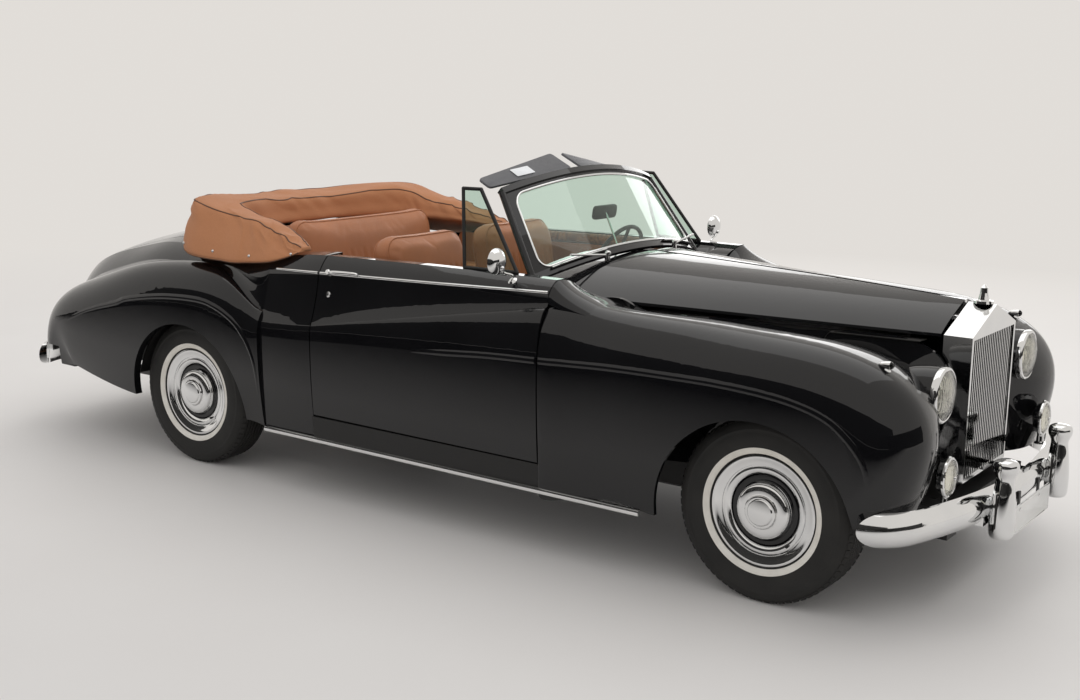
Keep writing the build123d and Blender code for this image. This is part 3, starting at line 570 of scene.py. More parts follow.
def lug_tree(finish):
    """Blocks set round a ring: Count of them at Radius and at each of two Offsets along the axle."""
    tree = node_tree("tread_lugs", [("Count", "NodeSocketInt"), ("Radius", "NodeSocketFloat"),
                                    ("Offset", "NodeSocketFloat"), ("Block", "NodeSocketVector"),
                                    ("Centre", "NodeSocketVector"), ("Tilt", "NodeSocketFloat")])
    given = tree.nodes.new("NodeGroupInput").outputs
    block = add_node(tree, "GeometryNodeMeshCube", Size=given["Block"]).outputs["Mesh"]
    index = add_node(tree, "GeometryNodeInputIndex").outputs[0]
    whole = add_node(tree, "ShaderNodeMath", {"operation": "DIVIDE"}, i0=2 * math.pi, i1=given["Count"]).outputs[0]
    turn = add_node(tree, "ShaderNodeMath", {"operation": "MULTIPLY"}, i0=index, i1=whole).outputs[0]
    join = tree.nodes.new("GeometryNodeJoinGeometry")
    for way in (-1, 1):
        ring = add_node(tree, "GeometryNodeMeshCircle", Vertices=given["Count"], Radius=given["Radius"]).outputs[0]
        offset = add_node(tree, "ShaderNodeMath", {"operation": "MULTIPLY"}, i0=given["Offset"], i1=way).outputs[0]
        lean = add_node(tree, "ShaderNodeMath", {"operation": "MULTIPLY"}, i0=given["Tilt"], i1=-way).outputs[0]
        angles = add_node(tree, "ShaderNodeCombineXYZ", Y=lean, Z=turn).outputs[0]
        step = add_node(tree, "ShaderNodeCombineXYZ", Z=offset).outputs[0]
        lugs = add_node(tree, "GeometryNodeInstanceOnPoints", Points=ring, Instance=block, Rotation=angles).outputs[0]
        lugs = add_node(tree, "GeometryNodeTransform", Geometry=lugs, Translation=step).outputs[0]
        tree.links.new(lugs, join.inputs[0])
    laid = add_node(tree, "GeometryNodeTransform", Geometry=join.outputs[0], Rotation=(math.pi / 2, 0, 0)).outputs[0]
    placed = add_node(tree, "GeometryNodeTransform", Geometry=laid, Translation=given["Centre"]).outputs[0]
    real = add_node(tree, "GeometryNodeRealizeInstances", Geometry=placed).outputs[0]
    shown = add_node(tree, "GeometryNodeSetMaterial", Geometry=real, Material=finish_of(finish)).outputs[0]
    tree.links.new(shown, tree.nodes.new("NodeGroupOutput").inputs[0])
    return tree


def bead_tree(finish):
    """Round heads set at a Spacing along a curve."""
    tree = node_tree("beads_along_a_line", [("Path", "NodeSocketObject"), ("Spacing", "NodeSocketFloat"),
                                            ("Head", "NodeSocketVector")])
    given = tree.nodes.new("NodeGroupInput").outputs
    line = add_node(tree, "GeometryNodeObjectInfo", {"transform_space": "RELATIVE"}, Object=given["Path"])
    spots = add_node(tree, "GeometryNodeCurveToPoints", {"mode": "LENGTH"}, Curve=line.outputs["Geometry"],
                     Length=given["Spacing"])
    ball = add_node(tree, "GeometryNodeMeshUVSphere", Segments=14, Rings=8, Radius=1.0).outputs[0]
    heads = add_node(tree, "GeometryNodeInstanceOnPoints", Points=spots.outputs["Points"], Instance=ball,
                     Rotation=spots.outputs["Rotation"], Scale=given["Head"]).outputs[0]
    real = add_node(tree, "GeometryNodeRealizeInstances", Geometry=heads).outputs[0]
    shown = add_node(tree, "GeometryNodeSetMaterial", Geometry=real, Material=finish_of(finish)).outputs[0]
    tree.links.new(shown, tree.nodes.new("NodeGroupOutput").inputs[0])
    return tree


def beads(name, line, spacing, head, body, finish, slot):
    """Heads along a line of points: studs, rivets or stitches."""
    curve = bpy.data.curves.new(name + "_path", "CURVE")
    curve.dimensions = "3D"
    spline = curve.splines.new("POLY")
    spline.points.add(len(line) - 1)
    for point, place in zip(spline.points, line):
        point.co = (*place, 1)
    path = bpy.data.objects.new(name + "_path", curve)
    bpy.context.collection.objects.link(path)
    mesh = grown(bead_tree(finish), name, {"Path": path, "Spacing": spacing, "Head": head})
    bpy.data.objects.remove(path)
    bpy.data.curves.remove(curve)
    return settle(mesh, body, finish, slot)


# ---------------------------------------------------------------- wheels
#   (distance outboard of the wheel's middle, radius)
TYRE_SIDE = [(0.0700, 0.2130), (0.0780, 0.2135), (0.0850, 0.2190), (0.0905, 0.2260), (0.0955, 0.2400),
             (0.0990, 0.2560), (0.1010, 0.2720), (0.1018, 0.2850), (0.1012, 0.3000), (0.0990, 0.3130),
             (0.1000, 0.3150), (0.0990, 0.3175), (0.0960, 0.3280), (0.0900, 0.3390), (0.0815, 0.3480),
             (0.0720, 0.3535), (0.0640, 0.3560)]
TREAD_GROOVES = (0.0520, 0.0300, 0.0100)       # distance of each groove from the middle
GROOVE_HALF, GROOVE_DEPTH = 0.0028, 0.008
TYRE_R = 0.360
WHITE_BAND = [(0.0860, 0.2212), (0.0895, 0.2216), (0.0930, 0.2270), (0.0985, 0.2440), (0.0982, 0.2456),
              (0.0940, 0.2450)]
DISC = [(-0.078, 0.196), (-0.078, 0.212), (-0.070, 0.213), (-0.064, 0.196), (0.064, 0.196), (0.070, 0.213),
        (0.076, 0.213), (0.076, 0.208), (0.068, 0.196), (0.060, 0.172), (0.054, 0.150), (0.056, 0.140),
        (0.063, 0.134), (0.064, 0.112), (0.060, 0.104), (0.040, 0.100), (0.036, 0.021), (-0.070, 0.021),
        (-0.070, 0.150), (-0.010, 0.150), (-0.010, 0.120), (0.030, 0.120), (0.040, 0.189), (-0.078, 0.189)]
TRIM_RING = [(0.0760, 0.2130), (0.0800, 0.2146), (0.0835, 0.2135), (0.0845, 0.2100), (0.0835, 0.2030),
             (0.0800, 0.1950), (0.0770, 0.1880), (0.0760, 0.1800), (0.0745, 0.1755), (0.0690, 0.1740),
             (0.0680, 0.1690), (0.0720, 0.1670), (0.0735, 0.1630), (0.0730, 0.1560), (0.0700, 0.1480),
             (0.0660, 0.1420), (0.0620, 0.1400), (0.0600, 0.1440), (0.0620, 0.1700), (0.0700, 0.2050)]
HUB_CAP = [(0.0600, 0.1110), (0.0680, 0.1120), (0.0720, 0.1100), (0.0790, 0.1085), (0.0870, 0.1050),
           (0.0920, 0.0990), (0.0945, 0.0900), (0.0955, 0.0780), (0.0955, 0.0680), (0.0970, 0.0655),
           (0.1010, 0.0640), (0.1045, 0.0615), (0.1055, 0.0570), (0.1050, 0.0525), (0.1075, 0.0505),
           (0.1095, 0.0480), (0.1105, 0.0380), (0.1115, 0.0180), (0.1118, 0.0), (0.0560, 0.0), (0.0560, 0.1060)]


def wheel_centres():
    for end, x, track in (("front", FRONT_AXLE_X, FRONT_TRACK), ("rear", REAR_AXLE_X, REAR_TRACK)):
        for hand, side in SIDES.items():
            yield f"{end}_{hand}", (x, side * track / 2, WHEEL_Z), side


def tyre_profile():
    half = list(TYRE_SIDE)
    for groove in TREAD_GROOVES:
        top = TYRE_R - 0.0001 - groove * 0.03
        half += [(groove + GROOVE_HALF, top), (groove + GROOVE_HALF * 0.8, top - GROOVE_DEPTH),
                 (groove - GROOVE_HALF * 0.8, top - GROOVE_DEPTH), (groove - GROOVE_HALF, top)]
    inner = [(-0.070, 0.213), (-0.084, 0.250), (-0.086, 0.310), (-0.060, 0.338), (0.060, 0.338), (0.086, 0.310),
             (0.084, 0.250)]
    return half + [(-a, r) for a, r in reversed(half)] + inner


class CAR_OT_tyres(bpy.types.Operator):
    """Makes the whitewall tyres with their grooves and shoulder lugs"""

    bl_idname = "car.tyres"
    bl_label = "Tyres"

    def execute(self, context):
        tree = lug_tree("tyre_rubber")
        for name, centre, side in wheel_centres():
            body = f"wheel_{name}"
            tyre = lathe(f"tyre_casing_{name}", tyre_profile(), centre, (0, side, 0), 144)
            settle(tyre, body, "tyre_rubber", "tyre_rubber", f"tyre_{name}", crease=50)
            band = lathe(f"whitewall_{name}", WHITE_BAND, centre, (0, side, 0), 144)
            settle(band, body, "whitewall", "tyre_rubber")
            lugs = grown(tree, f"tread_lugs_{name}", {
                "Count": sizes().tread_lugs, "Radius": 0.3505, "Offset": 0.0735, "Tilt": 0.62,
                "Block": sizes().lug_size, "Centre": centre})
            settle(lugs, body, "tyre_rubber", "tyre_rubber")
        return {"FINISHED"}


class CAR_OT_wheels(bpy.types.Operator):
    """Makes the steel discs, bright trim rings, plain hub caps and valves"""

    bl_idname = "car.wheels"
    bl_label = "Wheels"

    def execute(self, context):
        for name, centre, side in wheel_centres():
            body = f"wheel_{name}"
            settle(lathe(f"disc_{name}", DISC, centre, (0, side, 0), 96), body, "body_paint", "chrome",
                   f"wheel_{name}")
            settle(lathe(f"trim_ring_{name}", TRIM_RING, centre, (0, side, 0), 120), body)
            settle(lathe(f"hub_cap_{name}", HUB_CAP, centre, (0, side, 0), 96), body, crease=28)
            x, y, z = centre
            stem = (x + 0.104, y + side * 0.060, z - 0.118)
            valve = [(0, 0), (0, 0.0045), (0.012, 0.0045), (0.014, 0.0055), (0.024, 0.0052), (0.026, 0.004), (0.026, 0)]
            settle(lathe(f"valve_{name}", valve, stem, (0, side, 0), 16), body, "tyre_rubber", "tyre_rubber")
        return {"FINISHED"}


# ---------------------------------------------------------------- coachwork lines and brightwork
FRONT_SWAGE = [(0.910, 0.818), (1.208, 0.835), (1.478, 0.841), (1.733, 0.840), (1.976, 0.820), (2.133, 0.779),
               (2.225, 0.715), (2.285, 0.640), (2.310, 0.560)]
DOOR_SWAGE = [(0.240, 0.773), (0.420, 0.787), (0.619, 0.804), (0.770, 0.812), (0.892, 0.817)]
REAR_SWAGE = [(-2.150, 0.630), (-2.018, 0.684), (-1.892, 0.724), (-1.729, 0.766), (-1.617, 0.801), (-1.356, 0.839),
              (-1.108, 0.848), (-0.989, 0.827), (-0.873, 0.776), (-0.794, 0.704), (-0.749, 0.625), (-0.728, 0.540),
              (-0.722, 0.440)]
SWAGE = [(-0.012, -0.002), (-0.010, 0.0006), (-0.004, 0.0040), (0.0, 0.0050), (0.006, 0.0040), (0.016, 0.0008),
         (0.020, -0.002)]
BELT_Z = ((-0.660, 1.0350), (-0.380, 1.0440), (-0.366, 1.0442), (0.300, 1.0660), (0.840, 1.0850), (0.892, 1.0868))
SILL_LINE = ((-0.700, 0.9000), (-0.376, 0.9000), (0.900, 0.9080), (1.385, 0.9100))
HANDLE_BUTTON, DOOR_LOCK = (-0.302, 1.0475), (-0.297, 0.955)                 # x, z on the door
HANDLE_LINE = ((-0.290, 1.0475), (-0.215, 1.0500), (-0.128, 1.0530))
#        height, radius up an overrider
RIDER = [(0.2822, 0.026), (0.2860, 0.037), (0.2990, 0.0450), (0.3280, 0.0474), (0.3620, 0.0476), (0.4100, 0.0450),
         (0.4560, 0.0405), (0.4940, 0.0350), (0.5140, 0.0335), (0.5290, 0.0385), (0.5440, 0.0455), (0.5600, 0.0476),
         (0.5740, 0.0440), (0.5830, 0.0330), (0.5880, 0.0160)]
RIDER_PLACES = (("front", 2.6120, 0.343), ("rear", -2.6360, 0.550))


class CAR_OT_coach_lines(bpy.types.Operator):
    """Lays the raised swage lines along the wings and doors"""

    bl_idname = "car.coach_lines"
    bl_label = "Swage lines"

    def execute(self, context):
        for hand, side in SIDES.items():
            section = SWAGE if side > 0 else [(-a, b) for a, b in reversed(SWAGE)]
            for name, panel, line, body in (
                    ("front_wing_swage", f"front_wing_{hand}", FRONT_SWAGE, "car_body"),
                    ("door_swage", f"door_{hand}", DOOR_SWAGE, f"door_{hand}"),
                    ("rear_wing_swage", "rear_body", REAR_SWAGE, "car_body")):
                fade = 0.2 if name == "front_wing_swage" else 0.25

                def tapered(share, name=name, section=section, fade=fade):
                    start = 1.0 if name == "front_wing_swage" else min(1.0, share / fade)
                    end = 1.0 if name == "door_swage" else min(1.0, (1 - share) / fade)
                    size = max(0.08, min(start, end))
                    return [(a * (0.5 + size / 2), b * size) for a, b in section]
                side_strip(f"{name}_{hand}", [panel], line, side, tapered, body, "body_paint", "body_paint", 110)
        return {"FINISHED"}


class CAR_OT_brightwork(bpy.types.Operator):
    """Adds the belt and sill strips, door handles, locks and overriders"""

    bl_idname = "car.brightwork"
    bl_label = "Brightwork"

    def execute(self, context):
        strip = half_round(0.013, 0.006)
        for hand, side in SIDES.items():
            door, panel = f"door_{hand}", f"door_{hand}"
            side_strip(f"belt_strip_{hand}", [panel], BELT_Z[2:], side, strip, door, "chrome", "chrome")
            side_strip(f"belt_strip_rear_{hand}", ["rear_body"], BELT_Z[:2], side, strip, "car_body", "chrome",
                       "chrome", 30)
            rail = [Vector((x, side * y, 0.2745)) for x, y in SILL_LINE]
            rail = flow(rail, 90)
            ups = [Vector((0, side, 0))] * len(rail)
            bar = [(0.0135, -0.010), (0.0135, 0.002), (0.010, 0.007), (0.004, 0.0085), (-0.004, 0.0085),
                   (-0.010, 0.007), (-0.0135, 0.002), (-0.0135, -0.010)]
            settle(sweep(f"sill_strip_{hand}", rail, bar, ups))
            self.handle(hand, side, door)
            form = [(p.x, p.y) for p in flow([Vector((*c, 0)) for c in RIDER], 54)]
            form = [(0.2815, 0.0), *form, (0.5890, 0.0)]
            for end, x, y in RIDER_PLACES:
                settle(lathe(f"{end}_overrider_{hand}", form, (x, side * y, 0), (0, 0, 1), 48))
                back = -1 if x > 0 else 1
                seal = [Vector((x + back * 0.012, side * y + 0.0475, 0.330 + k * 0.0085)) for k in range(16)]
                seal += [Vector((x + back * 0.012, side * y - 0.0475, p.z)) for p in reversed(seal)]
                ups = [Vector((-back, 0, 0))] * len(seal)
                settle(sweep(f"{end}_overrider_seal_{hand}", seal, circle(0.0035, 8), ups, True), "car_body",
                       "tyre_rubber", "tyre_rubber")
        return {"FINISHED"}

    def handle(self, hand, side, body):
        tree = panel_tree(body)
        spot, out = on_side(tree, *HANDLE_BUTTON, side)
        button = [(-0.004, 0), (-0.004, 0.0135), (0.010, 0.0135), (0.016, 0.0120), (0.022, 0.0125), (0.026, 0.0100),
                  (0.027, 0)]
        settle(lathe(f"handle_button_{hand}", button, spot, out, 28), body)
        rear, middle, front = (on_side(tree, *place, side)[0] for place in HANDLE_LINE)
        line = flow([rear + out * 0.014, rear + out * 0.022 + Vector((0.012, 0, 0)), middle + out * 0.026,
                     front + out * 0.022 - Vector((0.012, 0, 0)), front + out * 0.004], 36)

        def bar(share):
            high = 0.0085 * (0.75 + 0.25 * math.sin(math.pi * min(1, 0.15 + share)))
            return [(across * high / 0.0085, rise * 0.6) for across, rise in circle(0.0085, 14)]
        settle(sweep(f"handle_bar_{hand}", line, bar, [out] * len(line)), body)
        spot, normal = on_side(tree, *DOOR_LOCK, side)
        lock = [(-0.003, 0), (-0.003, 0.013), (0.003, 0.0125), (0.005, 0.010), (0.0045, 0.006), (0.006, 0.005),
                (0.006, 0)]
        settle(lathe(f"door_lock_{hand}", lock, spot, normal, 24), body)


# ---------------------------------------------------------------- lamps and plates
HEADLAMP, FOG_LAMP, TAIL_LAMP = (2.412, 0.488, 0.824), (2.478, 0.570, 0.545), (-2.385, 0.715, 0.650)
#   (distance forward, radius)
HEAD_BOWL = [(-0.158, 0.0), (-0.158, 0.040), (-0.090, 0.087), (-0.022, 0.0985), (-0.020, 0.094), (-0.085, 0.082),
             (-0.145, 0.036), (-0.145, 0.0)]
HEAD_RIM = [(-0.022, 0.0960), (-0.024, 0.1010), (-0.014, 0.1045), (-0.006, 0.1058), (0.002, 0.1055),
            (0.006, 0.1025), (0.0085, 0.0975), (0.0075, 0.0930), (0.001, 0.0925), (-0.010, 0.0930)]
HEAD_LENS = [(0.0, 0.0935), (0.006, 0.0930), (0.014, 0.0820), (0.022, 0.0600), (0.0275, 0.0300), (0.0295, 0.0),
             (0.0255, 0.0), (0.0235, 0.0290), (0.018, 0.0580), (0.010, 0.0790), (0.002, 0.0900)]
FOG_BOWL = [(-0.044, 0.0), (-0.040, 0.030), (-0.026, 0.060), (-0.008, 0.069), (-0.002, 0.0745), (0.005, 0.0740),
            (0.009, 0.0690), (0.007, 0.0650), (0.0, 0.0640), (-0.024, 0.0500), (-0.036, 0.0240), (-0.038, 0.0)]
FOG_LENS = [(0.003, 0.0660), (0.010, 0.0620), (0.018, 0.0410), (0.0235, 0.0), (0.020, 0.0), (0.015, 0.0390),
            (0.007, 0.0590), (0.001, 0.0640)]
TAIL_RIM = [(0.0, 0.0), (0.0, 0.0395), (0.058, 0.0395), (0.064, 0.0385), (0.066, 0.0350), (0.060, 0.0330),
            (0.056, 0.0)]
TAIL_LENS = [(0.058, 0.0), (0.058, 0.0340), (0.066, 0.0345), (0.075, 0.0320), (0.084, 0.0220), (0.0895, 0.0)]
SIDE_LAMP_X, SIDE_LAMP_Y = 2.280, 0.723
SIDE_LAMP = [(-0.034, 0.0), (-0.032, 0.004), (-0.022, 0.010), (-0.006, 0.0140), (0.008, 0.0150), (0.013, 0.0150),
             (0.013, 0.0)]
SIDE_LENS = [(0.013, 0.0), (0.013, 0.0138), (0.019, 0.0120), (0.024, 0.0070), (0.026, 0.0)]
HEAD_POD = [(-0.230, 0.0), (-0.230, 0.050), (-0.170, 0.082), (-0.110, 0.0985), (-0.060, 0.1035), (-0.021, 0.1042),
            (-0.019, 0.1000), (-0.060, 0.0995), (-0.160, 0.070), (-0.200, 0.0)]


class CAR_OT_lamps(bpy.types.Operator):
    """Makes the headlamps, fog lamps, side lamps and tail lamps with their glasses"""

    bl_idname = "car.lamps"
    bl_label = "Lamps"

    def execute(self, context):
        ahead = (1, 0, 0)
        for hand, side in SIDES.items():
            x, y, z = HEADLAMP
            centre = (x, side * y, z)
            stands_for = ("front_lamps",) if hand == "left" else ()
            settle(lathe(f"headlamp_bowl_{hand}", HEAD_BOWL, centre, ahead), "car_body", "chrome", "lamp_glass",
                   *stands_for)
            settle(lathe(f"headlamp_pod_{hand}", HEAD_POD, centre, ahead), "car_body", "body_paint", "body_paint")
            settle(lathe(f"headlamp_rim_{hand}", HEAD_RIM, centre, ahead))
            settle(lathe(f"headlamp_glass_{hand}", HEAD_LENS, centre, ahead), "car_body", "lamp_glass", "lamp_glass")
            bulb = [(-0.145, 0.0), (-0.145, 0.012), (-0.090, 0.010), (-0.080, 0.016), (-0.066, 0.016), (-0.058, 0.0)]
            settle(lathe(f"headlamp_bulb_{hand}", bulb, centre, ahead, 24), "car_body", "card", "lamp_glass")
            x, y, z = FOG_LAMP
            centre = (x, side * y, z)
            settle(lathe(f"fog_lamp_bowl_{hand}", FOG_BOWL, centre, ahead, 60))
            settle(lathe(f"fog_lamp_glass_{hand}", FOG_LENS, centre, ahead, 60), "car_body", "lamp_glass", "lamp_glass")
            for part, spot, way in (("boss", (x + 0.0215, side * y, z), (1, 0, 0)),
                                    ("nub", (x - 0.002, side * y, z + 0.0725), (0, 0, 1))):
                knob = [(-0.002, 0), (-0.002, 0.0085), (0.003, 0.0080), (0.006, 0.0050), (0.007, 0)]
                settle(lathe(f"fog_lamp_{part}_{hand}", knob, spot, way, 20))
            foot = (x - 0.012, side * y, z - 0.112)
            stem = [(0, 0), (0, 0.020), (0.006, 0.019), (0.010, 0.012), (0.050, 0.010), (0.056, 0.010), (0.056, 0)]
            settle(lathe(f"fog_lamp_stem_{hand}", stem, foot, (0, 0, 1), 24))
            self.side_lamp(hand, side)
            x, y, z = TAIL_LAMP
            centre = (x, side * y, z)
            stands_for = ("tail_lamps",) if hand == "left" else ()
            settle(lathe(f"tail_lamp_rim_{hand}", TAIL_RIM, centre, (-1, 0, 0), 48), "car_body", "chrome", "chrome",
                   *stands_for)
            settle(lathe(f"tail_lamp_glass_{hand}", TAIL_LENS, centre, (-1, 0, 0), 48), "car_body", "red_lens",
                   "lamp_glass")
        return {"FINISHED"}

    def side_lamp(self, hand, side):
        tree = panel_tree(f"front_wing_{hand}")
        top, _, _, _ = tree.ray_cast(Vector((SIDE_LAMP_X, side * SIDE_LAMP_Y, 1.3)), Vector((0, 0, -1)))
        centre = top + Vector((0, 0, 0.017))
        foot = [(-0.006, 0), (-0.006, 0.015), (0.002, 0.012), (0.010, 0.006), (0.012, 0)]
        settle(lathe(f"side_lamp_foot_{hand}", foot, top, (0, 0, 1), 24))
        settle(lathe(f"side_lamp_{hand}", SIDE_LAMP, centre, (1, 0, 0), 32))
        settle(lathe(f"side_lamp_glass_{hand}", SIDE_LENS, centre, (1, 0, 0), 32), "car_body", "lamp_glass",
               "lamp_glass")


PLATE = (0.520, 0.112)           # width and height


class CAR_OT_plates(bpy.types.Operator):
    """Adds the two blank number plates on their brackets"""

    bl_idname = "car.plates"
    bl_label = "Blank plates"

    def execute(self, context):
        outline = rounded_outline(*PLATE, 0.012)
        rim = rounded_outline(PLATE[0] - 0.006, PLATE[1] - 0.006, 0.010)
        for name, x, z, way in (("front", 2.606, 0.305, 1), ("rear", -2.655, 0.305, -1)):
            settle(slab(f"{name}_plate", outline, (x, 0, z), (0, way, 0), (0, 0, 1), 0.004), "car_body", "plate",
                   "trim_black")
            line = [Vector((x + way * 0.004, way * a, z + b)) for a, b in rim]
            bead = sweep(f"{name}_plate_rim", line, circle(0.0022, 8), [Vector((way, 0, 0))] * len(line), True)
            settle(bead)
            for y in (-0.12, 0.12):
                arm = slab(f"{name}_plate_arm_{'left' if y > 0 else 'right'}", rounded_outline(0.026, 0.150, 0.004),
                           (x - way * 0.006, y, z + 0.030), (0, way, 0), (0, 0, 1), 0.0055)
                settle(arm, "car_body", "frame_black", "frame_black")
                bolt = [(0, 0), (0, 0.007), (0.002, 0.0068), (0.004, 0.004), (0.0045, 0)]
                settle(lathe(f"{name}_plate_bolt_{'left' if y > 0 else 'right'}", bolt, (x + way * 0.004, y, z + 0.035),
                             (way, 0, 0), 16))
        return {"FINISHED"}


# ---------------------------------------------------------------- windscreen
#               pivot x | pivot z | lean | rise at the middle | half width
SCREEN_BASE, SCREEN_TOP = (0.690, 1.100, 45, 0.118, 0.676), (0.462, 1.444, 50, 0.096, 0.596)
#         front inner, rear inner, rear outer and front outer corners of a sun visor
VISOR = [(0.440, 0.040, 1.520), (0.318, 0.040, 1.580), (0.303, 0.555, 1.496), (0.365, 0.558, 1.454)]
PILLAR_U, HEADER_V, FOOT_V = 0.925, 0.925, 0.055   # inner edges of the black surround, as shares of the glass
SURROUND_REACH = (1.008, -0.010, 1.020)          # its outer edges: pillar, foot and header
GLASS_CORNER, SURROUND_CORNER = 0.060, 0.030     # corner radii
SCREEN_NORMAL = Vector((math.cos(0.6), 0, math.sin(0.6)))
CABIN_MIRROR, MIRROR_UP = (0.591, 0.0, 1.328), (0.12, 0, 0.99)
WIPER_FROM, WIPER_RUN, WIPER_POINTS = 0.36, 0.50, 31        # shares of the glass's half width
WIPER_PIVOT = (0.806, 0.286, 1.176)
VISOR_HINGE_X, VISOR_HINGE_Z, VISOR_HINGE_HALF = 0.444, 1.517, 0.085


def screen_point(u, v, out=0.0):
    """A point of the windscreen: u from -1 to 1 across it, v from 0 to 1 up it, out in front of it."""
    ends = []
    for x, z, lean, rise, half in (SCREEN_BASE, SCREEN_TOP):
        bow = (half ** 2 + rise ** 2) / (2 * rise)
        r = rise - bow + math.sqrt(bow ** 2 - (half * u) ** 2)
        a = math.radians(lean)
        ends.append(Vector((x + r * math.cos(a), half * u, z + r * math.sin(a))))
    return ends[0].lerp(ends[1], v) + Vector((math.cos(0.6), 0.25 * u, math.sin(0.6))).normalized() * out


def screen_loop(pillar, foot, header, corner, out, steps=10, run=24):
    """A closed line of (u, v) round the glass with round corners, as points."""
    line = []
    height = 0.42                # of the glass, so that the corners come out round
    cu, cv = corner / SCREEN_BASE[4], corner / height
    for su, sv, turn in ((1, 1, 0), (-1, 1, 1), (-1, 0, 2), (1, 0, 3)):
        edge_v = header - cv if sv else foot + cv
        for step in range(steps + 1):
            a = math.pi / 2 * (turn + step / steps)
            line.append((su * (pillar - cu) + cu * math.cos(a), edge_v + cv * math.sin(a)))
        nxt_u, nxt_v = {0: (-(pillar - cu), header), 1: (-pillar, foot + cv), 2: (pillar - cu, foot),
                        3: (pillar, header - cv)}[turn]
        u, v = line[-1]
        line += [(u + (nxt_u - u) * k / run, v + (nxt_v - v) * k / run) for k in range(1, run)]
    return [screen_point(u, v, out) for u, v in line]


class CAR_OT_windscreen(bpy.types.Operator):
    """Adds the windscreen's black surround, bright bead, mirror, wiper blades and sun visors"""

    bl_idname = "car.windscreen"
    bl_label = "Windscreen fittings"

    def execute(self, context):
        glass_edge = (PILLAR_U, FOOT_V, HEADER_V, GLASS_CORNER)
        inner, lip = (screen_loop(*glass_edge, out) for out in (0.0075, 0.0035))
        outer, back = (screen_loop(*SURROUND_REACH, SURROUND_CORNER, out) for out in (0.0065, 0.0035))
        count = len(inner)
        surround = mesh_of("screen_surround", inner + outer + back + lip, tube_faces(4, count, closed=True))
        settle(surround, "car_body", "body_paint", "chrome")
        bead = screen_loop(*glass_edge, 0.0085)
        ups = [SCREEN_NORMAL] * count
        settle(sweep("screen_bead", bead, half_round(0.011, 0.0045), ups, True))
        self.mirror()
        self.blades()
        self.visors()
        return {"FINISHED"}

    def mirror(self):
        head = Vector(CABIN_MIRROR)
        outline = rounded_outline(0.185, 0.062, 0.020)
        settle(slab("cabin_mirror_back", outline, head, (0, 1, 0), MIRROR_UP, 0.016, 0.007), "car_body",
               "frame_black", "chrome")
        glass = slab("cabin_mirror_glass", rounded_outline(0.176, 0.054, 0.017), head, (0, -1, 0), MIRROR_UP,
                     0.003)
        settle(glass)
        stem = flow([(0.672, 0.0, 1.176), (0.650, 0.0, 1.225), (0.622, 0.0, 1.285), (0.604, 0.0, 1.322)], 20)
        settle(sweep("cabin_mirror_stem", stem, circle(0.0045, 12), [Vector((0, 1, 0))] * 20))

    def blades(self):
        for hand, side in SIDES.items():
            line = [screen_point(side * (WIPER_FROM + WIPER_RUN * k / (WIPER_POINTS - 1)), 0.030, 0.019)
                    for k in range(WIPER_POINTS)]
            up = [SCREEN_NORMAL] * WIPER_POINTS
            spine = [(-0.0035, 0.0), (-0.0035, 0.004), (-0.0015, 0.0075), (0.0015, 0.0075), (0.0035, 0.004),
                     (0.0035, 0.0)]
            settle(sweep(f"wiper_spine_{hand}", line, spine, up))
            rubber_line = [p - up[0] * 0.004 for p in line]
            lip = [(-0.003, -0.006), (0.003, -0.006), (0.0032, 0.003), (-0.0032, 0.003)]
            settle(sweep(f"wiper_rubber_{hand}", rubber_line, lip, up), "car_body", "tyre_rubber", "tyre_rubber")
            foot = Vector((WIPER_PIVOT[0], side * WIPER_PIVOT[1], WIPER_PIVOT[2]))
            cap = [(0, 0), (0, 0.014), (0.010, 0.013), (0.018, 0.009), (0.021, 0.0)]
            settle(lathe(f"wiper_cap_{hand}", cap, foot, (0.35, 0, 0.94), 24))

    def visors(self):
        for hand, side in SIDES.items():
            corners = [Vector((x, side * y, z)) for x, y, z in VISOR]
            across = (corners[3] - corners[0]).normalized()
            normal = across.cross(corners[1] - corners[0]).normalized()
            normal = normal if normal.z > 0 else -normal
            upward = normal.cross(across)
            flat = [((c - corners[0]).dot(across), (c - corners[0]).dot(upward)) for c in corners]
            outline = []
            for index, here in enumerate(flat):
                for near in (flat[index - 1], flat[(index + 1) % 4]):
                    outline.append([h + (n - h) * 0.018 / math.dist(here, near) for h, n in zip(here, near)])
                first, last = outline.pop(-2), outline.pop()
                outline += [[f * (1 - t) ** 2 + 2 * h * t * (1 - t) + l * t * t
                             for f, h, l in zip(first, here, last)] for t in (0, 0.25, 0.5, 0.75, 1)]
            stands_for = ("sun_visors",) if side > 0 else ()
            board = slab(f"visor_{hand}", outline, corners[0] - normal * 0.005, across, upward, 0.010, 0.003)
            settle(board, "car_body", "visor_vinyl", "visor_vinyl", *stands_for)
            if side < 0:
                front, rear = corners[0].lerp(corners[3], 0.52), corners[1].lerp(corners[2], 0.52)
                card = slab("visor_card", rounded_outline(0.112, 0.056, 0.004), front.lerp(rear, 0.5) + normal * 0.0052,
                            across, upward, 0.0012, 0.0004)
                settle(card, "car_body", "card", "visor_vinyl")
        top = screen_point(0, 1.0)
        hinge = Vector((VISOR_HINGE_X, 0, VISOR_HINGE_Z))
        rod = [Vector((VISOR_HINGE_X, y / 10 * VISOR_HINGE_HALF, VISOR_HINGE_Z)) for y in range(-10, 11)]
        arm = flow([top + Vector((0.006, 0, -0.006)), Vector((0.480, 0, 1.524)), hinge], 20)
        for name, line in (("visor_rod", rod), ("visor_arm", arm)):
            up = Vector((0, 0, 1)) if name == "visor_rod" else Vector((0, 1, 0))
            settle(sweep(name, line, circle(0.0045, 12), [up] * len(line)))


